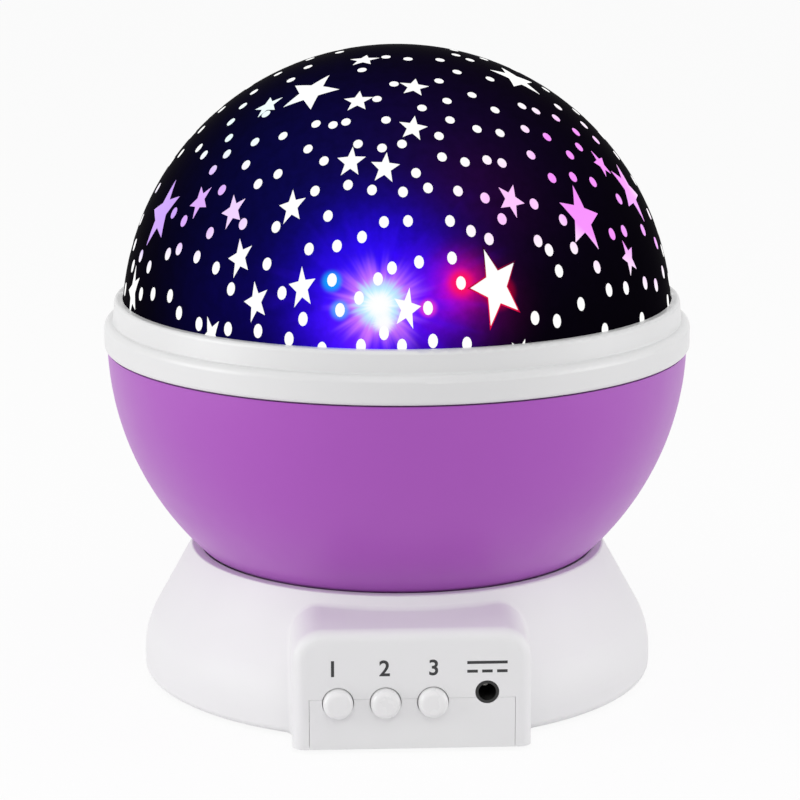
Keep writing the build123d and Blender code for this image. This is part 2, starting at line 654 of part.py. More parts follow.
def bowl():
    """Purple bowl with its hub, floor ribs, tray posts and the spigot with four bayonet tracks."""
    shell = bowl_solid() + disc(SPIGOT_R, BOWL_RIM_Z - 1, SPIGOT_TOP)
    shell -= bowl_hollow()
    shell += disc(HUB_R, GEAR_TOP, BOWL_LOW + 1)
    shell += disc(HUB_BORE + 2, BOWL_LOW, RIB_TOP)
    shell -= disc(HUB_BORE, GEAR_TOP - 1, RIB_TOP + 1)
    inside = bowl_solid()
    for angle in HUB_ANGLES:
        x, y = polar(HUB_SCREW_CIRCLE, angle)
        shell -= disc(1.1, GEAR_TOP - 1, GEAR_TOP + 4.5, x, y)
    for angle in range(0, 360, 60):
        rib = Rot(0, 0, angle) * block(HUB_BORE + 1.5, 46.0, -0.8, 0.8, BOWL_LOW + 1, RIB_TOP)
        shell += rib & inside
    for angle in TRAY_ANGLES:
        x, y = polar(TRAY_BOSS_CIRCLE, angle)
        shell += disc(3.2, BOWL_LOW + 8, TRAY_LOW, x, y) & inside
        shell -= disc(1.1, TRAY_LOW - 9, TRAY_LOW + 1, x, y)
    for angle in LUG_ANGLES:
        shell -= bayonet_track(angle)
    return shell


def inner_tray():
    """Tray that screens the inside of the bowl, with an upturned collar round the lamp post."""
    collar = tube(TRAY_BORE + 1.5, TRAY_BORE, TRAY_TOP, TRAY_TOP + 3)
    tray = tube(TRAY_R, TRAY_BORE, TRAY_LOW, TRAY_TOP) + collar
    for angle in TRAY_ANGLES:
        x, y = polar(TRAY_BOSS_CIRCLE, angle)
        tray -= disc(1.4, TRAY_LOW - 1, TRAY_TOP + 1, x, y)
    return tray


def tray_screws():
    """Screws that hold the tray on its posts."""
    spots = [polar(TRAY_BOSS_CIRCLE, angle) for angle in TRAY_ANGLES]
    return [screw(x, y, TRAY_TOP, 2.4, 1.6, 1.1, 7.0) for x, y in spots]


# ---- cover ------------------------------------------------------------------------------------
def dome_ring():
    """White two-tier ring that clamps the dome, with four bayonet lugs inside."""
    profile = outline(
        (RING_BORE, RING_LOW), (RING_R, RING_LOW), (RING_R, RING_STEP_Z),
        (RING_UPPER_R, RING_STEP_Z), (RING_UPPER_R - 0.3, RING_TOP), (60.85, RING_TOP),
        (61.15, FLANGE_TOP), (RING_BORE, FLANGE_TOP),
    )
    profile = rounded(
        profile, (RING_R, RING_LOW, 0.9), (RING_R, RING_STEP_Z, 1.6),
        (RING_UPPER_R, RING_STEP_Z, 0.35), (RING_UPPER_R - 0.3, RING_TOP, 0.9),
    )
    ring = turned(profile)
    root = RING_BORE + 0.5
    lug = outline((LUG_R, LUG_LOW), (root, LUG_LOW), (root, LUG_TOP), (LUG_R, LUG_TOP))
    for angle in LUG_ANGLES:
        ring += Rot(0, 0, angle - LUG_HALF) * turned(lug, 2 * LUG_HALF)
    return ring


def dome_shell(outer, inner, low):
    """Cap of a hollow ball above a height."""
    cap = Pos(0, 0, BALL_Z) * (Sphere(outer) - Sphere(inner))
    return cap & disc(RING_R, low, BALL_Z + BALL_R + 1)


def light_dome():
    """Clear moulded dome with the flange that the ring clamps."""
    flange = tube(FLANGE_R, DOME_R - DOME_WALL, FLANGE_LOW, FLANGE_TOP)
    return dome_shell(DOME_R, DOME_R - DOME_WALL, FLANGE_TOP) + flange


def star_cutter(azimuth, elevation, tip_r, turn):
    """Prism of a five-pointed star, stretched down the dome as the film was when it was formed."""
    stretch = max(1.0, 1.85 - 0.0125 * elevation)
    points = []
    for corner in range(10):
        radius = tip_r if corner % 2 == 0 else tip_r * STAR_WAIST
        angle = math.radians(90 - turn + 36 * corner)
        points.append((radius * math.cos(angle), radius * math.sin(angle) * stretch))
    star = make_face(Polyline(*points, close=True))
    tilt = math.radians(elevation)
    heading = math.radians(azimuth)
    level = Vector(math.cos(heading), math.sin(heading), 0)
    ahead = Vector(math.sin(heading), -math.cos(heading), 0)
    outward = ahead * math.cos(tilt) + Vector(0, 0, math.sin(tilt))
    seat = Plane(origin=Vector(0, 0, BALL_Z) + outward * (BALL_R - 5), x_dir=level, z_dir=outward)
    return extrude(seat * star, 6.5)


def star_mask():
    """Opaque printed film on the dome; its stars are real openings that the light leaves by."""
    film = dome_shell(BALL_R, BALL_R - MASK_WALL, FLANGE_TOP)
    cutters = [star_cutter(azimuth + side, *star) for azimuth, *star in STARS for side in (0, 180)]
    return film - cutters


# ---- lamps ------------------------------------------------------------------------------------
def led_post():
    """Hollow post on a screwed flange; the lamp lead runs up inside it."""
    post = disc(POST_FLANGE_R, BOX_TOP, POST_FLANGE_TOP) + disc(POST_R, BOX_TOP, POST_TOP)
    post += disc(POST_HEAD_R, POST_TOP - 1.6, POST_TOP)
    post -= disc(POST_BORE, POST_FLANGE_TOP, POST_TOP + 1)
    post -= block(-1.4, 1.4, -POST_R - 1, 0, POST_FLANGE_TOP, POST_DOOR_TOP)
    for angle in HUB_ANGLES:
        x, y = polar(POST_SCREW_CIRCLE, angle)
        post -= disc(1.2, BOX_TOP - 1, POST_FLANGE_TOP + 1, x, y)
    for angle in LAMP_SCREW_ANGLES:
        x, y = polar(LAMP_SCREW_CIRCLE, angle)
        post -= disc(0.7, POST_TOP - 3, POST_TOP + 1, x, y)
    return post


def post_screws():
    """Short screws that hold the post on the roof of the battery box."""
    spots = [polar(POST_SCREW_CIRCLE, angle) for angle in HUB_ANGLES]
    return [screw(x, y, POST_FLANGE_TOP, 2.2, 1.3, 0.9, 3.0) for x, y in spots]


def led_board():
    """Round lamp board on top of the post."""
    board = disc(LAMP_BOARD_R, POST_TOP, LAMP_BOARD_TOP)
    for angle in LAMP_SCREW_ANGLES:
        x, y = polar(LAMP_SCREW_CIRCLE, angle)
        board -= disc(0.8, POST_TOP - 1, LAMP_BOARD_TOP + 1, x, y)
    return board


def led_board_screws():
    """Screws that hold the lamp board."""
    spots = [polar(LAMP_SCREW_CIRCLE, angle) for angle in LAMP_SCREW_ANGLES]
    return [screw(x, y, LAMP_BOARD_TOP, 1.4, 1.0, 0.7, 3.0) for x, y in spots]


def led(x, y):
    """5 mm round lamp with its flange and domed lens."""
    top = LAMP_BOARD_TOP + LAMP_BODY
    lens = disc(LAMP_R, LAMP_BOARD_TOP, top, x, y) + Pos(x, y, top) * Sphere(LAMP_R)
    return lens + disc(LAMP_R + 0.4, LAMP_BOARD_TOP, LAMP_BOARD_TOP + 1.0, x, y)


# ---- leads ------------------------------------------------------------------------------------
def led_lead():
    """Lead from the control board up through the lamp post."""
    enter_z = POST_FLANGE_TOP + 0.9
    start = BOARD_BACK - 2
    return lead([(0, start, BOARD_TOP), (0, start, enter_z), (0, 0, enter_z), (0, 0, POST_TOP)])


def motor_lead():
    """Lead from the control board round the battery box to the motor's side."""
    x, y = 14.0, -24.0
    motor_x, motor_y = 29.0, -8.4
    return lead([(x, LEAD_ROW_Y, BOARD_TOP), (x, LEAD_ROW_Y, LEAD_Z), (x, y, LEAD_Z),
                 (motor_x, y, LEAD_Z), (motor_x, motor_y, LEAD_Z)])


def battery_lead():
    """Lead from the control board to the wall of the battery box."""
    x = -14.0
    wall = BOX_FRONT - BOX_WALL
    return lead([(x, LEAD_ROW_Y, BOARD_TOP), (x, LEAD_ROW_Y, LEAD_Z), (x, wall, LEAD_Z)])


# ---- write every node -------------------------------------------------------------------------
os.makedirs("parts", exist_ok=True)

save("base_shell", base_shell())
save("bottom_plate", bottom_plate())
save("battery_door", battery_door())
save("rubber_feet", *rubber_feet())
save("base_screws", *base_screws())
save("thrust_washer", tube(COLLAR_R - 0.4, COLLAR_BORE + 0.3, COLLAR_TOP, BOWL_LOW - WASHER_PLAY))
save("battery_cells", *battery_cells())
save("battery_springs", *battery_contacts(True))
save("battery_contacts", *battery_contacts(False))
save("control_board", control_board())
save("board_screws", *[screw(x, y, BOARD_TOP, 2.2, 1.4, 0.95, 4.4) for x, y in BOARD_SCREWS])
save("switch_bodies", *switch_bodies())
for number, button_x in enumerate(BUTTON_XS, start=1):
    save(f"button_{number}", button_cap(button_x))
    save(f"switch_plunger_{number}", switch_plunger(button_x))
save("dc_jack_body", dc_jack_body())
save("dc_jack_pin", dc_jack_pin())
save("motor_body", motor_body())
save("motor_screws", *[screw(MOTOR_X, y, EAR_TOP, 2.2, 1.4, 0.95, 7.0) for y in (-EAR_Y, EAR_Y)])
save("motor_shaft", motor_shaft())
save("motor_pinion", motor_pinion())
save("drive_gear", drive_gear())
save("gear_screws", *gear_screws())
save("bowl", bowl())
save("inner_tray", inner_tray())
save("tray_screws", *tray_screws())
save("dome_ring", dome_ring())
save("light_dome", light_dome())
save("star_mask", star_mask())
save("led_post", led_post())
save("post_screws", *post_screws())
save("led_board", led_board())
save("led_board_screws", *led_board_screws())
save("led_white", led(0, 0))
for name, lamp_angle in LAMP_ANGLES.items():
    save(name, led(*polar(LAMP_CIRCLE, lamp_angle)))
save("led_lead", led_lead())
save("motor_lead", motor_lead())
save("battery_lead", battery_lead())
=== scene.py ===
# %% [markdown]
# # A star night light projector
#
# A nursery lamp: a purple bowl with a star-pierced dome turns slowly on a white skirt, and a panel
# with three push buttons and a power socket stands out at the front. The engineering model gives
# every rigid piece at its real size and place. This file gives those pieces their finishes and adds
# what is printed or pressed on them. The frame is in metres, +Z is up and the panel faces -Y.

# %% Load the engineering model and keep its box
import bpy
import bmesh
import math
import random
from mathutils import Matrix, Vector


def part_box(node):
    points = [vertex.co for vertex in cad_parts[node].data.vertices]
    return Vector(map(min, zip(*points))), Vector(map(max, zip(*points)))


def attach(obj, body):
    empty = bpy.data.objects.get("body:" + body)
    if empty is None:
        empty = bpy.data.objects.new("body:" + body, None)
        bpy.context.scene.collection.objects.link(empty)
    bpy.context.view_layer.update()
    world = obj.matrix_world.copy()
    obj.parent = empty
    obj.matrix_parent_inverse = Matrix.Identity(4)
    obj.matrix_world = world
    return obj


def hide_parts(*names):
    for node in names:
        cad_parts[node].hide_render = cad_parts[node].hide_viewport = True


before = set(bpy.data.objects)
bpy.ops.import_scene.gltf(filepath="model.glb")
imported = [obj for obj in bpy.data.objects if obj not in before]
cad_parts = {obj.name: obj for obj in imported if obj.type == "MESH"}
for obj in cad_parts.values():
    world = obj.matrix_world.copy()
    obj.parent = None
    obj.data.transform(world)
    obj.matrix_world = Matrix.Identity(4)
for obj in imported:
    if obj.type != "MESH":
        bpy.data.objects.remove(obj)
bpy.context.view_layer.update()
print("nodes:", len(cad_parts))

# %% [markdown]
# Every size below is written in millimetres, because that is how a product is drawn, and MM turns
# it into Blender's metres. Colours are written as the hex values that a paint picker shows. A
# shader works in linear light, so one function converts them.

# %% Units and colours
MM = 0.001


def colour(hex_code):
    """Linear RGBA of an sRGB hex colour."""
    channels = [int(hex_code[start:start + 2], 16) / 255 for start in (1, 3, 5)]
    linear = [c / 12.92 if c <= 0.04045 else ((c + 0.055) / 1.055) ** 2.4 for c in channels]
    return (*linear, 1.0)


print("mid grey is", round(colour("#808080")[0], 3), "in linear light")

# %% [markdown]
# ## Camera
#
# The lamp is seen from a little above and a few degrees left of straight ahead, through a long
# lens, so that its ellipses stay flat and its sides nearly upright.

# %% Camera
CAMERA_RANGE = 650 * MM
CAMERA_HEIGHT = 209 * MM
CAMERA_SIDE = math.radians(3.0)
CAMERA_YAW = math.radians(3.058)
CAMERA_TILT = math.radians(12.78)
LENS = 133.74

camera_data = bpy.data.cameras.new("camera")
camera_data.lens = LENS
camera = bpy.data.objects.new("camera", camera_data)
camera.location = (-CAMERA_RANGE * math.sin(CAMERA_SIDE), -CAMERA_RANGE * math.cos(CAMERA_SIDE),
                   CAMERA_HEIGHT)
camera.rotation_euler = (math.pi / 2 - CAMERA_TILT, 0, -CAMERA_YAW)
bpy.context.scene.collection.objects.link(camera)
bpy.context.scene.camera = camera
bpy.context.scene.view_settings.view_transform = "Standard"
print("camera at", [round(value, 3) for value in camera.location])

# %% [markdown]
# ## One helper for nodes
#
# A material is a small graph. Adding a node always takes the same three steps: make it, set its
# options, and give its inputs a value or a link. One function does all three for every kind. A
# pattern's scale in Blender counts features per metre, so it is worked out from a feature's size.

# %% Node helper and material starter


def add_node(tree, kind, inputs=None, **options):
    """Add a node, set its options, and fill its inputs with values or with links from sockets."""
    node = tree.nodes.new(kind)
    for name, value in options.items():
        setattr(node, name, value)
    for key, value in (inputs or {}).items():
        if isinstance(value, bpy.types.NodeSocket):
            tree.links.new(value, node.inputs[key])
        else:
            node.inputs[key].default_value = value
    return node


def start_material(name):
    """New material: its node tree, its main shader and the object coordinates."""
    material = bpy.data.materials.new(name)
    material.use_nodes = True
    tree = material.node_tree
    place = add_node(tree, "ShaderNodeTexCoord").outputs["Object"]
    return material, tree, tree.nodes["Principled BSDF"], place


def per_size(millimetres):
    """Scale of a pattern whose features are this large."""
    return 1 / (millimetres * MM)


def wear(material, *nodes):
    """Put a material on engineering nodes, in the slots that they came with."""
    for node in nodes:
        for material_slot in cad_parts[node].material_slots:
            material_slot.material = material
    print(material.name, "on", ", ".join(nodes))


print("a pattern of 30 mm has the scale", round(per_size(30.0), 1))

# %% [markdown]
# ## Studio
#
# A product picture wants a white surround that doesn't wash the object out. The backdrop is white
# only for what the camera sees, directly or in a gloss or glass. The light that falls on the lamp
# is set apart from it: a plain white dome of light, and four large soft panels.

# %% World


def seen_white(tree):
    """1 for rays of the camera, of a gloss or of glass, which are to see a white surround."""
    ray = add_node(tree, "ShaderNodeLightPath")
    direct = add_node(tree, "ShaderNodeMath", {0: ray.outputs["Is Camera Ray"],
                                               1: ray.outputs["Is Glossy Ray"]}, operation="MAXIMUM")
    return add_node(tree, "ShaderNodeMath", {0: direct.outputs[0], 1: ray.outputs["Is Transmission Ray"]},
                    operation="MAXIMUM").outputs[0]


FILL = 0.56                  # level of the light that comes from all round
world = bpy.data.worlds.new("studio")
world.use_nodes = True
bpy.context.scene.world = world
sky = world.node_tree
sky.nodes.clear()
fill = add_node(sky, "ShaderNodeBackground", {"Color": colour("#FFFFFF"), "Strength": FILL})
backdrop = add_node(sky, "ShaderNodeBackground", {"Color": colour("#FFFFFF"), "Strength": 1.0})
surround = add_node(sky, "ShaderNodeMixShader", {0: seen_white(sky), 1: fill.outputs[0],
                                                 2: backdrop.outputs[0]})
add_node(sky, "ShaderNodeOutputWorld", {"Surface": surround.outputs[0]})
print("fill light", FILL)

# %% [markdown]
# The floor is a sheet of white card. Seen by the camera it is mostly its own white, and a small
# share of it is real card, which is what takes the lamp's shadow.

# %% Floor
FLOOR_HALF = 4.0
CARD_SHARE = 0.09            # share of the floor's look that is lit card
sheet = bmesh.new()
bmesh.ops.create_grid(sheet, x_segments=1, y_segments=1, size=FLOOR_HALF)
floor_mesh = bpy.data.meshes.new("floor")
sheet.to_mesh(floor_mesh)
sheet.free()
floor = bpy.data.objects.new("floor", floor_mesh)
bpy.context.scene.collection.objects.link(floor)

card, tree, shader, place = start_material("white_card")
shader.inputs["Base Color"].default_value = colour("#F4F4F4")
shader.inputs["Roughness"].default_value = 0.9
share = add_node(tree, "ShaderNodeMath", {0: seen_white(tree), 1: 1 - CARD_SHARE}, operation="MULTIPLY")
glow = add_node(tree, "ShaderNodeEmission", {"Color": colour("#FFFFFF"), "Strength": 1.0})
blend = add_node(tree, "ShaderNodeMixShader", {0: share.outputs[0], 1: shader.outputs[0],
                                               2: glow.outputs[0]})
tree.links.new(blend.outputs[0], tree.nodes["Material Output"].inputs["Surface"])
floor_mesh.materials.append(card)
print("floor", 2 * FLOOR_HALF, "m wide")

# %% [markdown]
# Soft panels stand to the left, to the right and overhead, and one high in front that reaches under
# the bowl to the roof of the control panel. The left one is the strongest, which is why that side
# of the bowl and of the skirt is the palest.

# %% Light panels
AIM = (0.0, 0.0, 0.07)       # middle of the lamp, in metres


def light_panel(name, spot, size, power):
    """Square soft panel at a spot in metres, turned to the middle of the lamp."""
    data = bpy.data.lights.new(name, "AREA")
    data.shape = "SQUARE"
    data.size = size
    data.energy = power
    lamp = bpy.data.objects.new(name, data)
    lamp.location = spot
    aim = Vector(AIM) - Vector(spot)
    lamp.rotation_euler = aim.to_track_quat("-Z", "Y").to_euler()
    bpy.context.scene.collection.objects.link(lamp)
    print(name, "at", spot, "gives", power, "W")


light_panel("panel_left", (-0.75, -0.16, 0.23), 0.44, 2.2)
light_panel("panel_right", (0.80, -0.10, 0.25), 0.48, 1.8)
light_panel("panel_top", (0.0, -0.15, 0.95), 0.70, 0.8)
light_panel("panel_front", (0.0, -0.75, 0.66), 0.60, 1.7)

# %% [markdown]
# ## Moulded plastics
#
# Bowl, skirt, ring and caps are injection moulded ABS. The tool was polished for the ring and the
# caps and left a little rougher for the bowl and the skirt, which are satin. The skin has two small
# flaws that make it look real: a long, faint waviness where the wall shrank unevenly, which bends
# the reflections, and a fine orange peel. The gloss also varies a little, as on anything that has
# been handled. The bowl has a little sheen too, which makes a satin skin paler where it turns away.
# All plastics here share one recipe with other numbers.

# %% Recipe for moulded plastic
FLOW_SIZE = 30.0             # millimetres: where the melt ran, the tint wanders
HANDLED_SIZE = 12.0          # patches of other gloss
SHRINK_SIZE = 18.0           # waves of the shrunk wall
SHRINK_DEPTH = 0.25
PEEL_SIZE = 0.7              # bumps of the orange peel
PLASTIC_IOR = 1.53


def moulded(name, skin, deep, roughness, gloss_spread=0.05, peel=0.004, specular=0.5, sheen=0.0):
    """Moulded plastic: two near colours, a roughness that wanders, and a wavy skin."""
    material, tree, shader, place = start_material(name)
    flow = add_node(tree, "ShaderNodeTexNoise", {"Vector": place, "Scale": per_size(FLOW_SIZE),
                                                 "Detail": 2.0})
    tint = add_node(tree, "ShaderNodeMix", {"Factor": flow.outputs["Fac"], "A": colour(deep),
                                            "B": colour(skin)}, data_type="RGBA")
    handled = add_node(tree, "ShaderNodeTexNoise", {"Vector": place, "Scale": per_size(HANDLED_SIZE),
                                                    "Detail": 4.0, "Roughness": 0.6})
    gloss = add_node(tree, "ShaderNodeMapRange", {"Value": handled.outputs["Fac"],
                                                  "From Min": 0.3, "From Max": 0.7,
                                                  "To Min": roughness - gloss_spread / 2,
                                                  "To Max": roughness + gloss_spread / 2})
    shrink = add_node(tree, "ShaderNodeTexNoise", {"Vector": place, "Scale": per_size(SHRINK_SIZE),
                                                   "Detail": 1.0})
    wavy = add_node(tree, "ShaderNodeBump", {"Height": shrink.outputs["Fac"], "Strength": 0.25,
                                             "Distance": SHRINK_DEPTH * MM})
    skin_grain = add_node(tree, "ShaderNodeTexNoise", {"Vector": place, "Scale": per_size(PEEL_SIZE),
                                                       "Detail": 2.0})
    peel_bump = add_node(tree, "ShaderNodeBump", {"Height": skin_grain.outputs["Fac"], "Strength": 0.5,
                                                  "Distance": peel * MM, "Normal": wavy.outputs["Normal"]})
    tree.links.new(tint.outputs["Result"], shader.inputs["Base Color"])
    tree.links.new(gloss.outputs["Result"], shader.inputs["Roughness"])
    tree.links.new(peel_bump.outputs["Normal"], shader.inputs["Normal"])
    shader.inputs["IOR"].default_value = PLASTIC_IOR
    shader.inputs["Specular IOR Level"].default_value = specular
    shader.inputs["Sheen Weight"].default_value = sheen
    return material


print("waves of the skin are", SHRINK_SIZE, "mm long, bumps of its peel", PEEL_SIZE, "mm")

# %% Bowl, skirt, ring, caps and tray
white_abs = moulded("white_satin_abs", "#E9E9E9", "#E5E5E6", 0.42, specular=0.18)
purple_abs = moulded("purple_satin_abs", "#A548B7", "#A146B4", 0.40, sheen=0.11)
button_abs = moulded("cap_white_abs", "#EAEAEA", "#E6E6E6", 0.28)
tray_abs = moulded("matt_white_abs", "#DCDCDE", "#D4D4D6", 0.55, peel=0.01)
ring_abs = moulded("ring_white_abs", "#DEDEDE", "#D9D9DA", 0.32)
wear(white_abs, "base_shell", "bottom_plate", "battery_door")
wear(ring_abs, "dome_ring")
wear(purple_abs, "bowl")
wear(button_abs, "button_1", "button_2", "button_3")
wear(tray_abs, "inner_tray", "led_post")

# %% [markdown]
# The gears are turned out of natural acetal, which is waxy and a little yellow, and the socket, the
# switches and the plungers are black nylon with a duller, grainy skin. The thrust washer under
# the bowl is a slippery white fluoroplastic.

# %% Gears, socket and washer
acetal = moulded("natural_acetal", "#ECE8D8", "#E4DFCC", 0.42, peel=0.006)
nylon = moulded("black_nylon", "#161616", "#101010", 0.45, peel=0.02)
washer = moulded("white_fluoroplastic", "#E8E8E6", "#E0E0DE", 0.5)
wear(acetal, "drive_gear", "motor_pinion")
wear(nylon, "dc_jack_body", "switch_bodies", "switch_plunger_1", "switch_plunger_2", "switch_plunger_3")
wear(washer, "thrust_washer")

# %% [markdown]
# ## The star film
#
# The dome carries a printed film that is nearly black. The lamps' light through it is painted on it:
# straight before each lamp the ink has a painted glow. A glow is a colour that fades with the distance
# from one point of the dome, so each is a point, a reach and a colour, and they are added up as
# light adds up. The points are given as the direction from the ball's centre, which is how the
# lamps see them.

# %% Directions on the dome
BALL_R = 61.0 * MM
BALL_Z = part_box("star_mask")[1].z - BALL_R


def on_dome(azimuth, elevation, radius=BALL_R):
    """Point on the ball: azimuth from the front towards +X, elevation above its centre."""
    side, lift = math.radians(azimuth), math.radians(elevation)
    ahead = math.cos(lift) * radius
    return Vector((ahead * math.sin(side), -ahead * math.cos(side), BALL_Z + radius * math.sin(lift)))


print("ball centre is", round(BALL_Z / MM, 2), "mm above the floor")

# %% [markdown]
# The falloff of one painted glow is a bell curve of the distance, e to the power of -(d / reach)
# squared. A higher power than 2 gives a disc with a soft edge. The painted glare of the brightest
# lamp also has painted spikes. A spike has the same direction all along, so a noise that is read by
# the direction from the glow's middle, and not by the place, lengthens the reach in some directions.

# %% Falloff of one glow


def falloff(tree, place, centre, reach, steep=2.0, spike=0.0, fineness=6.0):
    """Bell curve round a point, 1 at the point and about a third at its reach, longer along its spikes."""
    away = add_node(tree, "ShaderNodeVectorMath", {0: place, 1: centre}, operation="SUBTRACT").outputs[0]
    gap = add_node(tree, "ShaderNodeVectorMath", {0: away}, operation="LENGTH").outputs["Value"]
    ratio = add_node(tree, "ShaderNodeMath", {0: gap, 1: reach * MM}, operation="DIVIDE").outputs[0]
    if spike:
        way = add_node(tree, "ShaderNodeVectorMath", {0: away}, operation="NORMALIZE").outputs[0]
        fan = add_node(tree, "ShaderNodeTexNoise", {"Vector": way, "Scale": fineness, "Detail": 2.0})
        longer = add_node(tree, "ShaderNodeMapRange", {"Value": fan.outputs["Fac"], "From Min": 0.3,
                                                       "From Max": 0.7, "To Min": 1.0 - spike,
                                                       "To Max": 1.0 + spike}).outputs["Result"]
        ratio = add_node(tree, "ShaderNodeMath", {0: ratio, 1: longer}, operation="DIVIDE").outputs[0]
    power = add_node(tree, "ShaderNodeMath", {0: ratio, 1: steep}, operation="POWER").outputs[0]
    fall = add_node(tree, "ShaderNodeMath", {0: power, 1: -1.0}, operation="MULTIPLY").outputs[0]
    return add_node(tree, "ShaderNodeMath", {0: fall}, operation="EXPONENT").outputs[0]


print("at its reach a glow is down to", round(math.exp(-1), 2))

# %% [markdown]
# Two more helpers: one lays a painted colour over the painted light so far, and one makes the back
# of the dome read the front's painted glows, because the same lamps stand behind it.

# %% Covering, and the back half


def cover_light(tree, total, tint, amount, firmness):
    """Lay a painted colour over the painted light so far, as firmly as the amount says."""
    firm = add_node(tree, "ShaderNodeMath", {0: amount, 1: firmness}, operation="MULTIPLY", use_clamp=True)
    return add_node(tree, "ShaderNodeMix", {"Factor": firm.outputs[0], "A": total, "B": colour(tint)},
                    data_type="RGBA").outputs["Result"]


def front_place(tree, place):
    """Place on the front half: the back half is read half a turn further, so both look alike."""
    parts = add_node(tree, "ShaderNodeSeparateXYZ", {0: place})
    behind = add_node(tree, "ShaderNodeMath", {0: parts.outputs["Y"], 1: 0.0}, operation="GREATER_THAN")
    flip = add_node(tree, "ShaderNodeMapRange", {"Value": behind.outputs[0], "To Min": 1.0,
                                                 "To Max": -1.0}).outputs["Result"]
    turn = add_node(tree, "ShaderNodeCombineXYZ", {"X": flip, "Y": flip, "Z": 1.0}).outputs[0]
    return add_node(tree, "ShaderNodeVectorMath", {0: place, 1: turn}, operation="MULTIPLY").outputs[0]


print("the back half shows the front turned by half a turn")

# %% [markdown]
# The painted glow of the blue lamp fills the lower middle, painted violet lies low on both sides of it,
# and the red one's painted glow shows beside the large star. Far from the lamps only a trace of
# painted navy, wine or black is left.

# %% Glows
# Each painted glow: azimuth, elevation, reach in millimetres, colour, strength.
PAINTED_GLOWS = (
    (-7, 19, 13.0, "#2404FF", 0.95),      # blue lamp
    (-12, 8, 11.0, "#3406FF", 0.66),      # its blue, low left
    (-20, 16, 10.0, "#1A04C0", 0.10),
    (-36, 11, 16.0, "#1A06B0", 0.10),     # the last of it, far left
    (4, 10, 9.0, "#5004D8", 0.27),        # violet, low right
    (2, 15, 7.0, "#B008F0", 0.30),        # violet between the blue and the red lamp
    (-9, 11, 6.5, "#A030FF", 0.45),       # and round the hot spot
    (9.9, 17.9, 4.5, "#F00038", 0.72),    # red lamp
    (13, 14, 7.5, "#90004C", 0.20),       # its wine-coloured fringe
    (14, 34, 13.0, "#3C0040", 0.22),
    (-26, 40, 26.0, "#0A1078", 0.26),     # navy, upper left
    (12, 46, 26.0, "#22083C", 0.28),      # wine, upper right
)
print("glows:", len(PAINTED_GLOWS))

# %% [markdown]
# Where a lamp all but burns through the ink, its painted glare no longer adds to the rest but covers
# it: first a painted lilac haze, then short pale cyan painted rays, then the painted white spot. So do
# the painted bright rings round a few dots.

# %% Covers
# Each painted glare: azimuth, elevation, reach in millimetres, colour, steepness, firmness, share by
# which the reach varies with the direction, fineness of that.
PAINTED_GLARE = (
    (-6.5, 15.0, 12.5, "#3C10FF", 3.0, 0.35, 0.55, 5.0),     # long faint rays
    (-6.5, 13.9, 7.1, "#E884F8", 4.0, 0.92, 0.26, 4.0),      # lilac haze
    (-6.5, 14.2, 4.9, "#B4F6FF", 6.0, 0.95, 0.14, 6.0),      # short rays
    (-6.5, 14.0, 3.0, "#FFFFFF", 5.0, 1.00, 0.16, 6.0),      # hot spot
    (-5.6, 10.6, 1.9, "#FFFFFF", 4.0, 0.95, 0.10, 6.0),      # and its lobe below
    (-16.2, 18.2, 2.0, "#08A0FF", 5.0, 0.95, 0.0, 6.0),      # rings round dots
    (-14.2, 12.8, 1.9, "#50A8FF", 5.0, 0.85, 0.0, 6.0),
    (9.9, 17.9, 2.7, "#FF1460", 4.0, 0.95, 0.0, 6.0),
    (3.1, 13.3, 1.8, "#F038D0", 5.0, 0.80, 0.0, 6.0),
    (17.6, 15.8, 3.7, "#A80030", 8.0, 0.65, 0.0, 6.0),       # red in the notches of the large star
)
print("covers:", len(PAINTED_GLARE))

# %% [markdown]
# The painted glows are added up, made uneven by clouds in the ink, and covered by the painted
# glare. The ink itself is nearly black and reflects next to nothing, so that the painted light on it
# isn't greyed.

# %% Film material
# Painted glow of the ink far from the lamps.
PAINTED_BASE_GLOW = "#020104"       # what the ink lets through far from the lamps
FILM_INK = "#030204"
INK_ROUGHNESS = 0.45
INK_SPECULAR = 0.0005
INK_CLOUD = 2.4              # millimetres, size of the ink's uneven spots
INK_SPREAD = 0.16            # how far their density goes to either side


def ink_surface(shader):
    """Give a shader the ink's dark, dull surface, with its emission on for the painted glow."""
    shader.inputs["Base Color"].default_value = colour(FILM_INK)
    shader.inputs["Roughness"].default_value = INK_ROUGHNESS
    shader.inputs["Specular IOR Level"].default_value = INK_SPECULAR
    shader.inputs["Emission Strength"].default_value = 1.0


film, tree, shader, place = start_material("black_star_film_painted_glow")
front = front_place(tree, place)
light = add_node(tree, "ShaderNodeRGB").outputs[0]
light.default_value = colour(PAINTED_BASE_GLOW)
for azimuth, elevation, reach, tint, strength in PAINTED_GLOWS:
    amount = falloff(tree, front, on_dome(azimuth, elevation), reach)
    weighted = [channel * strength for channel in colour(tint)[:3]]
    light = add_node(tree, "ShaderNodeVectorMath", {0: weighted, 1: amount, 2: light},
                     operation="MULTIPLY_ADD").outputs["Vector"]
cloud = add_node(tree, "ShaderNodeTexNoise", {"Vector": place, "Scale": per_size(INK_CLOUD), "Detail": 4.0,
                                              "Roughness": 0.6})
density = add_node(tree, "ShaderNodeMapRange", {"Value": cloud.outputs["Fac"], "From Min": 0.3,
                                                "From Max": 0.7, "To Min": 1 - INK_SPREAD,
                                                "To Max": 1 + INK_SPREAD})
light = add_node(tree, "ShaderNodeVectorMath", {0: light, "Scale": density.outputs["Result"]},
                 operation="SCALE").outputs["Vector"]
for azimuth, elevation, reach, tint, steep, firmness, spike, fineness in PAINTED_GLARE:
    amount = falloff(tree, front, on_dome(azimuth, elevation), reach, steep, spike, fineness)
    light = cover_light(tree, light, tint, amount, firmness)
ink_surface(shader)
# The painted glows and glare are the film's emission.
tree.links.new(light, shader.inputs["Emission Color"])
print(film.name, "has", len(tree.nodes), "nodes")
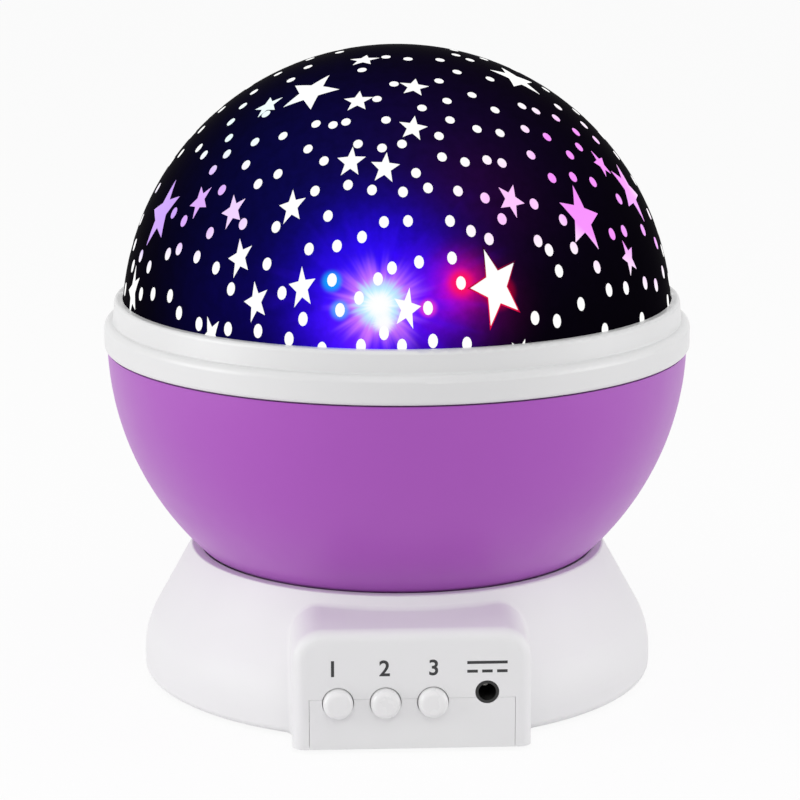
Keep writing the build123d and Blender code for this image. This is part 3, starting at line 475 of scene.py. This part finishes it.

# %% [markdown]
# The engineering model cuts the stars out of the film. Here the film is whole, and every star and dot
# is a window with a painted glow laid on it, so that both are made in one way and their edges stay
# crisp. The film is a sphere, cut off level above its rim and given a wall.

# %% Film shell
FILM_WALL = 0.35
FILM_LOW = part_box("star_mask")[0].z
FILM_ROUND = 160             # faces round the film
cap = bmesh.new()
bmesh.ops.create_uvsphere(cap, u_segments=FILM_ROUND, v_segments=FILM_ROUND // 2, radius=BALL_R)
bmesh.ops.translate(cap, vec=(0, 0, BALL_Z), verts=cap.verts[:])
bmesh.ops.bisect_plane(cap, geom=cap.verts[:] + cap.edges[:] + cap.faces[:], plane_co=(0, 0, FILM_LOW),
                       plane_no=(0, 0, 1), clear_inner=True)
bmesh.ops.recalc_face_normals(cap, faces=cap.faces[:])
bmesh.ops.solidify(cap, geom=cap.faces[:], thickness=FILM_WALL * MM)
for face in cap.faces:
    face.smooth = True
film_mesh = bpy.data.meshes.new("star_film")
cap.to_mesh(film_mesh)
cap.free()
star_film = bpy.data.objects.new("star_film", film_mesh)
bpy.context.scene.collection.objects.link(star_film)
film_mesh.materials.append(film)
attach(star_film, "cover")
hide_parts("star_mask")
print("star_film is", round(star_film.dimensions.x / MM, 2), "mm across")

# %% [markdown]
# ## The windows' painted glow
#
# Behind the stars is the clear dome, frosted. The lamps' light in its windows is a painted glow: white
# in the middle, pink to the right and lilac to the left, where another lamp is nearest.

# %% Window material
# Each painted tint of the glow: azimuth, elevation, reach in millimetres, colour, firmness.
PAINTED_GLOW_TINTS = (
    (54, 35, 15.5, "#F58CFA", 2.2),     # pink, upper right
    (66, 22, 9, "#EFA0FB", 2.2),        # pink, at the right limb
    (24, 33, 9, "#FBC4FC", 1.2),        # pale pink, right of the middle
    (-56, 31, 9.5, "#DCA8FA", 2.0),     # lilac, left
    (-72, 27, 9.0, "#C89CF6", 2.2),
    (-43, 29, 6, "#EED0FC", 1.2),
    (-58, 50, 12, "#E8FBFC", 0.9),      # pale cyan, upper left
)
FROST_GRAIN = 1.5
window, tree, shader, place = start_material("clear_styrene_painted_glow")
front = front_place(tree, place)
# Painted glow of the windows, white before it is tinted.
lit = add_node(tree, "ShaderNodeRGB").outputs[0]
lit.default_value = colour("#FEFEFC")
for azimuth, elevation, reach, tint, firmness in PAINTED_GLOW_TINTS:
    amount = falloff(tree, front, on_dome(azimuth, elevation), reach, steep=3.0)
    lit = cover_light(tree, lit, tint, amount, firmness)
frost = add_node(tree, "ShaderNodeTexNoise", {"Vector": place, "Scale": per_size(FROST_GRAIN),
                                              "Detail": 2.0})
haze = add_node(tree, "ShaderNodeMapRange", {"Value": frost.outputs["Fac"], "To Min": 0.32,
                                             "To Max": 0.48})
tree.links.new(haze.outputs["Result"], shader.inputs["Roughness"])
shader.inputs["Base Color"].default_value = colour("#242428")
shader.inputs["Specular IOR Level"].default_value = 0.1
shader.inputs["Emission Strength"].default_value = 1.0
# The windows' painted glow is their emission.
tree.links.new(lit, shader.inputs["Emission Color"])
wear(window, "light_dome")

# %% [markdown]
# ## The stars of the film
#
# Five-pointed stars and small dots are the windows of the film. Their places on the side that faces
# the camera are given as they are seen: a place in the picture is a ray through the lens, and the
# window's centre lies where that ray meets the ball. The back repeats them half a turn further.

# %% From the picture to the ball
FRAME = 800                  # width and height of the picture that the places are given in
SENSOR = 36.0                # width of the camera's sensor, as its lens, in millimetres


def on_ball(across, down):
    """Azimuth and elevation where the ray through a place in the picture meets the ball."""
    ray = Vector(((across - FRAME / 2) / FRAME * SENSOR, (FRAME / 2 - down) / FRAME * SENSOR, -LENS))
    ray = (camera.rotation_euler.to_matrix() @ ray).normalized()
    start = camera.location - Vector((0, 0, BALL_Z))
    nearest = -start.dot(ray)
    depth = math.sqrt(max(BALL_R ** 2 - (start.length_squared - nearest ** 2), 0))
    spot = start + ray * (nearest - depth)
    return math.degrees(math.atan2(spot.x, -spot.y)), math.degrees(math.asin(min(spot.z / spot.length, 1)))


print("the middle of the picture is at", [round(angle, 1) for angle in on_ball(FRAME / 2, FRAME / 4)])

# %% Where the stars are
# Each star: its centre in the picture, across and down from the upper left corner, its tip radius in
# millimetres, and its turn to the right in degrees. All but the last were fitted by another program to
# tips read by eye. Most tip radii were then made 0.1 or 0.2 larger, and two stars were moved or turned
# a little.
STARS_SEEN = (
    (311, 92, 6.3, -1), (364, 60, 3.3, -18), (358, 101, 3.2, -8), (268, 106, 3.2, -44),
    (351, 162, 3.1, -4), (385, 168, 3.1, 4), (414, 87, 3.2, 14), (413, 128, 3.1, 12),
    (511, 200, 3.0, 32), (582, 218, 5.5, 15), (601, 164, 2.7, -3), (629, 191, 5.4, 32),
    (629, 258, 2.7, -12), (162, 213, 5.8, -18), (200, 201, 3.0, -40), (233, 211, 3.0, -30),
    (240, 258, 3.0, -23), (256, 302, 2.9, -20), (292, 207, 3.0, -16), (302, 288, 3.0, -10),
    (407, 309, 2.9, 11), (496, 287, 5.55, -17), (211, 336, 2.8, -30), (520, 357, 2.6, 30),
    (516, 79, 5.8, 40), (133, 292, 3.8, -20),
)
stars = []
for across, down, tip, turn in STARS_SEEN:
    azimuth, elevation = on_ball(across, down)
    stars += [(azimuth, elevation, tip, turn), (azimuth + 180, elevation, tip, turn)]
print("stars in all:", len(stars))

# %% [markdown]
# The print was flat when it was made and was then drawn down over the ball, so every window is
# longer down the dome than it is wide, most near the rim. A star starts as a circle of ten corners
# with every other one drawn in. It is poked to a fan and subdivided, because a face can't follow
# the ball, and given a hair of thickness. Each copy is then laid down on the ball: a point keeps its
# direction from the ball's centre, and its height over the film becomes its distance from it.

# %% How a window is drawn and laid down
STAR_WAIST = 0.42            # radius of a notch as a share of the tip radius
WINDOW_SKIN = 0.05           # how far a window stands out of the film
STAR_CUTS = 3
STAR_STRETCH = 1.65          # how many times taller than wide at the ball's widest line
DOT_STRETCH = 1.55
STRETCH_FADE = 0.009         # how much less for each degree of elevation


def stretch(elevation, at_rim):
    """How many times taller than wide a window is, from its value at the ball's widest line."""
    return max(1.0, at_rim - STRETCH_FADE * elevation)


def skinned(flat):
    """Give a flat window a thickness, half of it above the level at which it was drawn."""
    lid = bmesh.ops.extrude_face_region(flat, geom=flat.faces[:])
    top = [item for item in lid["geom"] if isinstance(item, bmesh.types.BMVert)]
    bmesh.ops.translate(flat, vec=(0, 0, 2 * WINDOW_SKIN * MM), verts=top)
    bmesh.ops.translate(flat, vec=(0, 0, -WINDOW_SKIN * MM), verts=flat.verts[:])
    bmesh.ops.recalc_face_normals(flat, faces=flat.faces[:])
    mesh = bpy.data.meshes.new("window")
    flat.to_mesh(mesh)
    flat.free()
    return mesh


def lay_on_ball(field, window_mesh, azimuth, elevation, shape):
    """Add a copy of a window, shaped by a matrix and laid down on the ball at a direction."""
    seat = (Matrix.Translation((0, 0, BALL_Z)) @ Matrix.Rotation(math.radians(azimuth), 4, "Z")
            @ Matrix.Rotation(math.radians(90 - elevation), 4, "X"))
    first = len(field.verts)
    field.from_mesh(window_mesh)
    field.verts.ensure_lookup_table()
    for vertex in field.verts[first:]:
        drawn = shape @ vertex.co
        vertex.co = seat @ (Vector((drawn.x, drawn.y, BALL_R)).normalized() * (BALL_R + drawn.z))


def star_shape(elevation, tip, turn, thick=1.0):
    """Matrix that turns a star, sizes it by its tip radius, and draws it down the dome."""
    return (Matrix.Diagonal((1, stretch(elevation, STAR_STRETCH), 1, 1))
            @ Matrix.Rotation(math.radians(-turn), 4, "Z")
            @ Matrix.Diagonal((tip * MM, tip * MM, thick, 1)))


def film_piece(name, field, material):
    """Make what lies on the film a piece of the cover."""
    mesh = bpy.data.meshes.new(name)
    field.to_mesh(mesh)
    field.free()
    piece = bpy.data.objects.new(name, mesh)
    bpy.context.scene.collection.objects.link(piece)
    mesh.materials.append(material)
    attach(piece, "cover")
    print(name, "has", len(mesh.polygons), "faces")


print("at the ball's widest line a star is drawn", stretch(0, STAR_STRETCH), "times taller than wide")

# %% Make the stars
STAR_CORNERS = 10            # tips and notches
flat = bmesh.new()
bmesh.ops.create_circle(flat, cap_ends=True, segments=STAR_CORNERS, radius=1.0)
notches = [corner for index, corner in enumerate(flat.verts) if index % 2]
bmesh.ops.scale(flat, vec=(STAR_WAIST, STAR_WAIST, 1), verts=notches)
bmesh.ops.poke(flat, faces=flat.faces[:])
bmesh.ops.subdivide_edges(flat, edges=flat.edges[:], cuts=STAR_CUTS, use_grid_fill=True)
one_star = skinned(flat)
field = bmesh.new()
for azimuth, elevation, tip, turn in stars:
    lay_on_ball(field, one_star, azimuth, elevation, star_shape(elevation, tip, turn))
print("stars laid down:", len(stars))

# %% [markdown]
# The lowest stars run down behind the ring. What would reach below the film's edge is cut off, and the cut
# is closed.

# %% Trim the stars at the film's edge
RIM_MARGIN = 0.3
trimmed = bmesh.ops.bisect_plane(field, geom=field.verts[:] + field.edges[:] + field.faces[:],
                                 plane_co=(0, 0, FILM_LOW + RIM_MARGIN * MM), plane_no=(0, 0, 1),
                                 clear_inner=True)
open_edges = [item for item in trimmed["geom_cut"] if isinstance(item, bmesh.types.BMEdge)]
bmesh.ops.edgeloop_fill(field, edges=open_edges)
film_piece("film_stars", field, window)

# %% [markdown]
# The large star stands beside the red lamp. The red that the lamp gives the ink along the star's edge
# is a painted glow, weaker at its upper tips. A star that is a little larger and thinner than the
# window lies under it, so that only a rim of it is seen.

# %% Red rim of the large star
RED_LAMP = (9.9, 17.9)
# The reddened part is a painted red glow.
PAINTED_RIM_GLOW_MIDDLE = (16.5, 13.0)     # middle of the reddened part
RIM_REACH = 8.0
RIM_SPREAD = 1.12            # size of the rim's star against the window's
RIM_THICK = 0.5              # thickness of it against the window's
red_glow_ink, tree, shader, place = start_material("red_painted_glow_ink")
near = falloff(tree, front_place(tree, place), on_dome(*PAINTED_RIM_GLOW_MIDDLE), RIM_REACH, steep=4.0)
painted_rim_glow = add_node(tree, "ShaderNodeMix", {"Factor": near, "A": colour("#22062A"), "B": colour("#E01048")},
                     data_type="RGBA")
# The rim's painted red glow is its emission.
tree.links.new(painted_rim_glow.outputs["Result"], shader.inputs["Emission Color"])
ink_surface(shader)
lamp_spot = on_dome(*RED_LAMP)
azimuth, elevation, tip, turn = min(stars, key=lambda star: (on_dome(*star[:2]) - lamp_spot).length)
field = bmesh.new()
for half_turn in (0, 180):
    lay_on_ball(field, one_star, azimuth + half_turn, elevation,
                star_shape(elevation, tip * RIM_SPREAD, turn, RIM_THICK))
bpy.data.meshes.remove(one_star)
film_piece("film_star_painted_glow_rims", field, red_glow_ink)

# %% [markdown]
# ## The dots of the film
#
# The dots are placed in the same way. What neither the seen side nor its repeat reaches, at the two
# sides, is filled at random, with a least distance between two dots.

# %% Where the dots are
# Centres of the dots in the picture, across and down from its upper left corner.
DOTS_SEEN = (
    (308, 67), (291, 80), (278, 74), (254, 92), (243, 106), (231, 122), (266, 114), (362, 70),
    (386, 57), (408, 59), (440, 60), (456, 55), (470, 60), (457, 72), (439, 81), (394, 84),
    (377, 99), (447, 101), (422, 108), (490, 79), (472, 95), (495, 110), (522, 106), (536, 111),
    (558, 107), (556, 118), (386, 120), (450, 120), (316, 124), (333, 125), (346, 122), (477, 129),
    (500, 133), (525, 129), (547, 137), (439, 136), (283, 136), (576, 132), (584, 125), (596, 140),
    (579, 147), (570, 155), (308, 149), (324, 161), (358, 144), (382, 148), (402, 144), (229, 138),
    (255, 142), (199, 148), (204, 155), (227, 154), (246, 165), (213, 170), (442, 157), (465, 162),
    (487, 160), (502, 163), (531, 155), (278, 174), (258, 184), (222, 190), (174, 213), (184, 221),
    (243, 224), (210, 233), (276, 227), (315, 191), (348, 185), (372, 190), (403, 192), (416, 173),
    (428, 188), (458, 191), (485, 198), (552, 178), (573, 177), (593, 182), (619, 199), (534, 204),
    (502, 219), (563, 220), (328, 216), (384, 222), (408, 221), (450, 221), (471, 231), (612, 234),
    (624, 231), (643, 230), (656, 243), (489, 239), (538, 241), (549, 250), (574, 248), (362, 237),
    (337, 246), (309, 249), (267, 264), (179, 249), (168, 254), (149, 267), (197, 257), (216, 268),
    (392, 268), (419, 262), (452, 258), (559, 271), (597, 267), (663, 272), (332, 280), (461, 283),
    (378, 279), (359, 298), (282, 293), (231, 289), (141, 294), (153, 294), (170, 296), (609, 290),
    (626, 288), (645, 283), (656, 285), (581, 304), (340, 310), (428, 308), (303, 319), (289, 339),
    (322, 349), (361, 346), (384, 333), (402, 346), (433, 341), (467, 344), (535, 318), (557, 321),
    (605, 330), (642, 319), (179, 313), (199, 324), (228, 329), (258, 331), (141, 256), (133, 266),
)
print("dots seen:", len(DOTS_SEEN))

# %% Repeat them on the back
DOT_GAP = 6.1                # least distance between two dots' centres where they are filled in
TWIN_SHARE = 0.7             # share of that gap which is enough for a repeated dot
STAR_ROOM = 1.3              # room that a stretched star takes, in tip radii
STAR_CLEARANCE = 1.4
RIM_ELEVATION = 5.2
TOP_ELEVATION = 79.0
TRIES = 9000
FILL_SEED = 11
SIGHT_EDGE = 0.16            # cosine of the angle of sight past which the camera sees no dot


def in_sight(spot):
    """Is this place on the side of the ball that the camera sees?"""
    outward = (spot - Vector((0, 0, BALL_Z))).normalized()
    return outward.dot((camera.location - spot).normalized()) > SIGHT_EDGE


star_spots = [(on_dome(azimuth, elevation), tip * STAR_ROOM) for azimuth, elevation, tip, turn in stars]
seen = [on_ball(*place_seen) for place_seen in DOTS_SEEN]
dots = list(seen)
for azimuth, elevation in seen:
    twin = on_dome(azimuth + 180, elevation)
    if all((twin - on_dome(*other)).length > DOT_GAP * MM * TWIN_SHARE for other in dots):
        dots.append((azimuth + 180, elevation))
print("dots seen and repeated:", len(dots))

# %% [markdown]
# The fill tries random places out of the camera's sight, evenly over the ball, and keeps those with
# enough room round them. Each is kept together with its repeat on the other side.

# %% Fill the sides
random.seed(FILL_SEED)
taken = [on_dome(*spot) for spot in dots]
for attempt in range(TRIES):
    azimuth = random.uniform(-90, 90)
    lift = random.uniform(math.sin(math.radians(RIM_ELEVATION)), math.sin(math.radians(TOP_ELEVATION)))
    elevation = math.degrees(math.asin(lift))
    pair = [on_dome(azimuth, elevation), on_dome(azimuth + 180, elevation)]
    if in_sight(pair[0]) or any((spot - other).length < DOT_GAP * MM for spot in pair for other in taken):
        continue
    if any((pair[0] - centre).length < (reach + STAR_CLEARANCE) * MM for centre, reach in star_spots):
        continue
    taken += pair
    dots += [(azimuth, elevation), (azimuth + 180, elevation)]
print("dots in all:", len(dots))

# %% [markdown]
# A dot was round when it was printed, and is stretched down the dome as a star is. There are
# hundreds, so each has only a few faces.

# %% Make the dots
DOT_R = 1.0
DOT_CORNERS = 14
flat = bmesh.new()
bmesh.ops.create_circle(flat, cap_ends=True, segments=DOT_CORNERS, radius=DOT_R * MM)
one_dot = skinned(flat)
field = bmesh.new()
for azimuth, elevation in dots:
    taller = Matrix.Diagonal((1, stretch(elevation, DOT_STRETCH), 1, 1))
    lay_on_ball(field, one_dot, azimuth, elevation, taller)
bpy.data.meshes.remove(one_dot)
film_piece("film_dots", field, window)

# %% [markdown]
# ## Marks on the panel
#
# The buttons are told apart by plain numerals, and the socket by the general sign for direct
# current, a line over three dashes. Both are pad printed in dark grey, a layer of ink with hardly
# any thickness. Text is the quick way to a numeral: it is made a mesh first, and then laid on the
# panel's face.

# %% Printed marks
PRINT_GRAIN = 0.3            # millimetres, unevenness of the print
ink, tree, shader, place = start_material("pad_print_ink")
spots = add_node(tree, "ShaderNodeTexNoise", {"Vector": place, "Scale": per_size(PRINT_GRAIN), "Detail": 3.0})
tone = add_node(tree, "ShaderNodeMix", {"Factor": spots.outputs["Fac"], "A": colour("#202022"),
                                        "B": colour("#343436")}, data_type="RGBA")
tree.links.new(tone.outputs["Result"], shader.inputs["Base Color"])
shader.inputs["Roughness"].default_value = 0.55
print("ink:", ink.name)

# %% Numerals
FACE_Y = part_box("bottom_plate")[0].y
PRINT_SKIN = 0.03 * MM       # how far the print stands out of the face
NUMERAL_TALL = 3.45 * MM
NUMERAL_Z = 18.4 * MM
NUMERAL_SIZE = 5.2 * MM
NUMERAL_BOLD = 0.09 * MM     # how much wider a stroke is on each side than the font's own


def finish_piece(piece, body, material):
    """Give a new piece its material, body and material slot."""
    piece.data.materials.clear()
    piece.data.materials.append(material)
    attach(piece, body)
    size = piece.dimensions
    print(piece.name, "is", " x ".join(f"{side / MM:.1f}" for side in size), "mm")


def numeral(number, x):
    """Printed numeral, centred over its button."""
    text = bpy.data.curves.new(f"text_{number}", "FONT")
    text.body = str(number)
    text.align_x = "CENTER"
    text.size = NUMERAL_SIZE
    text.extrude = PRINT_SKIN
    text.offset = NUMERAL_BOLD
    shape = bpy.data.objects.new("shape", text)
    bpy.context.scene.collection.objects.link(shape)
    bpy.context.view_layer.update()
    mesh = bpy.data.meshes.new_from_object(shape)
    bpy.data.objects.remove(shape)
    xs = [vertex.co.x for vertex in mesh.vertices]
    ys = [vertex.co.y for vertex in mesh.vertices]
    middle = Vector(((min(xs) + max(xs)) / 2, (min(ys) + max(ys)) / 2, 0))
    scale = NUMERAL_TALL / (max(ys) - min(ys))
    mesh.transform(Matrix.Translation((x, FACE_Y, NUMERAL_Z)) @ Matrix.Rotation(math.pi / 2, 4, "X")
                   @ Matrix.Diagonal((scale, scale, 1, 1)) @ Matrix.Translation(-middle))
    mesh.name = f"numeral_{number}"
    piece = bpy.data.objects.new(f"numeral_{number}", mesh)
    bpy.context.scene.collection.objects.link(piece)
    finish_piece(piece, "base", ink)


def box_middle(node):
    """Middle of a node's box."""
    low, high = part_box(node)
    return (low + high) / 2


# How far each numeral stands to the right of its button's middle, in millimetres.
NUMERAL_SHIFTS = {1: -1.1, 2: -0.2, 3: 0.1}
for number, shift in NUMERAL_SHIFTS.items():
    numeral(number, box_middle(f"button_{number}").x + shift * MM)

# %% [markdown]
# The sign for direct current is a line over three dashes, so four thin bars make it.

# %% Direct current sign
SIGN_WIDE = 8.4 * MM
SIGN_LINE = 0.62 * MM
SIGN_RISE = 0.95 * MM        # line above, dashes as far below the middle
DASHES = 3
DASH_SHARE = 0.26            # width of a dash as a share of the line
sign = bmesh.new()
socket_x = box_middle("dc_jack_pin").x
dash_wide = SIGN_WIDE * DASH_SHARE
bars = [(socket_x, NUMERAL_Z + SIGN_RISE, SIGN_WIDE)]
for index in range(DASHES):
    shift = (index - 1) * (SIGN_WIDE - dash_wide) / 2
    bars.append((socket_x + shift, NUMERAL_Z - SIGN_RISE, dash_wide))
for x, z, wide in bars:
    bmesh.ops.create_cube(sign, size=1.0, matrix=Matrix.Translation((x, FACE_Y, z))
                          @ Matrix.Diagonal((wide, 2 * PRINT_SKIN, SIGN_LINE, 1)))
sign_mesh = bpy.data.meshes.new("direct_current_sign")
sign.to_mesh(sign_mesh)
sign.free()
sign_piece = bpy.data.objects.new("direct_current_sign", sign_mesh)
bpy.context.scene.collection.objects.link(sign_piece)
finish_piece(sign_piece, "base", ink)

# %% [markdown]
# ## Metals, rubber and electrics
#
# Most of these pieces are hidden until the lamp is opened, but the screws, the cells and the feet
# are seen from below. Zinc plating is a bright, slightly blue grey with a fine grain, spring steel
# is polished nickel, and the cells wear a printed sleeve.

# %% Metals


def metal(name, bright, dull, roughness, grain):
    """Plated or drawn metal: two tones in a fine grain, and a gloss that follows it."""
    material, tree, shader, place = start_material(name)
    noise = add_node(tree, "ShaderNodeTexNoise", {"Vector": place, "Scale": per_size(grain), "Detail": 4.0})
    tone = add_node(tree, "ShaderNodeMix", {"Factor": noise.outputs["Fac"], "A": colour(dull),
                                            "B": colour(bright)}, data_type="RGBA")
    gloss = add_node(tree, "ShaderNodeMapRange", {"Value": noise.outputs["Fac"], "To Min": roughness - 0.06,
                                                  "To Max": roughness + 0.06})
    bump = add_node(tree, "ShaderNodeBump", {"Height": noise.outputs["Fac"], "Strength": 0.3,
                                             "Distance": 0.01 * MM})
    tree.links.new(tone.outputs["Result"], shader.inputs["Base Color"])
    tree.links.new(gloss.outputs["Result"], shader.inputs["Roughness"])
    tree.links.new(bump.outputs["Normal"], shader.inputs["Normal"])
    shader.inputs["Metallic"].default_value = 1.0
    return material


zinc = metal("zinc_plated_steel", "#C9CCD0", "#AEB2B8", 0.32, 0.6)
spring = metal("nickel_spring_steel", "#D9D7D0", "#C9C6BC", 0.18, 1.5)
can = metal("drawn_motor_can", "#BFC1C4", "#A6A8AC", 0.28, 1.2)
plated_pin = metal("nickel_plated_pin", "#D6D4CE", "#C2C0BA", 0.22, 0.8)
wear(zinc, "base_screws", "board_screws", "motor_screws", "motor_shaft", "gear_screws", "tray_screws",
     "post_screws", "led_board_screws")
wear(spring, "battery_springs", "battery_contacts")
wear(can, "motor_body")
wear(plated_pin, "dc_jack_pin")

# %% Rubber feet
RUBBER_GRAIN = 0.25          # millimetres
rubber, tree, shader, place = start_material("moulded_rubber")
grain = add_node(tree, "ShaderNodeTexNoise", {"Vector": place, "Scale": per_size(RUBBER_GRAIN),
                                              "Detail": 3.0})
tone = add_node(tree, "ShaderNodeMix", {"Factor": grain.outputs["Fac"], "A": colour("#C8C8C6"),
                                        "B": colour("#D8D8D6")}, data_type="RGBA")
bump = add_node(tree, "ShaderNodeBump", {"Height": grain.outputs["Fac"], "Strength": 0.6,
                                         "Distance": 0.03 * MM})
tree.links.new(tone.outputs["Result"], shader.inputs["Base Color"])
tree.links.new(bump.outputs["Normal"], shader.inputs["Normal"])
shader.inputs["Roughness"].default_value = 0.8
wear(rubber, "rubber_feet")

# %% [markdown]
# A cell's sleeve is slate blue with a silver band at each end. The cells lie along Y, so the distance
# from the middle of their length says which it is, and a steep ramp keeps the edge between them
# sharp.

# %% Battery cells
cells_low, cells_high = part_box("battery_cells")
CELL_MIDDLE = (cells_low.y + cells_high.y) / 2
BAND_START = 17.0 * MM
CAP_START = 21.3 * MM
sleeve, tree, shader, place = start_material("printed_cell_sleeve")
parts = add_node(tree, "ShaderNodeSeparateXYZ", {0: place})
offset = add_node(tree, "ShaderNodeMath", {0: parts.outputs["Y"], 1: CELL_MIDDLE}, operation="SUBTRACT")
along = add_node(tree, "ShaderNodeMath", {0: offset.outputs[0]}, operation="ABSOLUTE")
band = add_node(tree, "ShaderNodeMath", {0: along.outputs[0], 1: BAND_START}, operation="GREATER_THAN")
cap = add_node(tree, "ShaderNodeMath", {0: along.outputs[0], 1: CAP_START}, operation="GREATER_THAN")
body_tone = add_node(tree, "ShaderNodeMix", {"Factor": band.outputs[0], "A": colour("#2C4A5E"),
                                             "B": colour("#9EA8B0")}, data_type="RGBA")
tone = add_node(tree, "ShaderNodeMix", {"Factor": cap.outputs[0], "A": body_tone.outputs["Result"],
                                        "B": colour("#C4C6C8")}, data_type="RGBA")
foil = add_node(tree, "ShaderNodeMapRange", {"Value": band.outputs[0], "To Min": 0.2, "To Max": 1.0})
tree.links.new(tone.outputs["Result"], shader.inputs["Base Color"])
tree.links.new(foil.outputs["Result"], shader.inputs["Metallic"])
shader.inputs["Roughness"].default_value = 0.3
wear(sleeve, "battery_cells")

# %% [markdown]
# The control board is green solder mask over copper tracks. Tracks run in straight lanes with gaps
# between them, so a brick pattern stands for them, lighter where copper lies under the mask. The
# lamp board's mask is white.

# %% Boards
TRACK_PITCH = 1.6
mask, tree, shader, place = start_material("green_solder_mask")
lanes = add_node(tree, "ShaderNodeTexBrick", {"Vector": place, "Color1": colour("#0F5A2A"),
                                              "Color2": colour("#126331"), "Mortar": colour("#0A4420"),
                                              "Scale": per_size(TRACK_PITCH), "Mortar Size": 0.12,
                                              "Brick Width": 6.0, "Row Height": 1.0})
bump = add_node(tree, "ShaderNodeBump", {"Height": lanes.outputs["Fac"], "Strength": 0.4,
                                         "Distance": 0.03 * MM}, invert=True)
tree.links.new(lanes.outputs["Color"], shader.inputs["Base Color"])
tree.links.new(bump.outputs["Normal"], shader.inputs["Normal"])
shader.inputs["Roughness"].default_value = 0.3
wear(mask, "control_board")
white_mask = moulded("white_solder_mask", "#E8E8E4", "#DEDEDA", 0.35, peel=0.01)
wear(white_mask, "led_board")

# %% [markdown]
# The four lamps are epoxy domes, clear or tinted through, a little hazy inside and lit.

# %% Lamp lenses
EPOXY_HAZE = 2.0             # millimetres, size of the haze
LENSES = {"led_white": "#FFFFFF", "led_red": "#FF1230", "led_green": "#18E860", "led_blue": "#2030FF"}
for node, tint in LENSES.items():
    lens, tree, shader, place = start_material(f"{node}_epoxy")
    haze = add_node(tree, "ShaderNodeTexNoise", {"Vector": place, "Scale": per_size(EPOXY_HAZE),
                                                 "Detail": 2.0})
    gloss = add_node(tree, "ShaderNodeMapRange", {"Value": haze.outputs["Fac"], "To Min": 0.05,
                                                  "To Max": 0.15})
    tree.links.new(gloss.outputs["Result"], shader.inputs["Roughness"])
    shader.inputs["Base Color"].default_value = colour(tint)
    shader.inputs["IOR"].default_value = 1.5
    shader.inputs["Transmission Weight"].default_value = 0.6
    shader.inputs["Emission Color"].default_value = colour(tint)
    shader.inputs["Emission Strength"].default_value = 0.8
    wear(lens, node)

# %% [markdown]
# The leads are wires in a soft PVC skin, black to the lamps and red to the motor and the cells.

# %% Leads
for node, tint, deep in (("led_lead", "#1A1A1A", "#121212"), ("motor_lead", "#A01010", "#8A0C0C"),
                         ("battery_lead", "#A01010", "#8A0C0C")):
    wear(moulded(f"{node}_pvc", tint, deep, 0.4, peel=0.01), node)
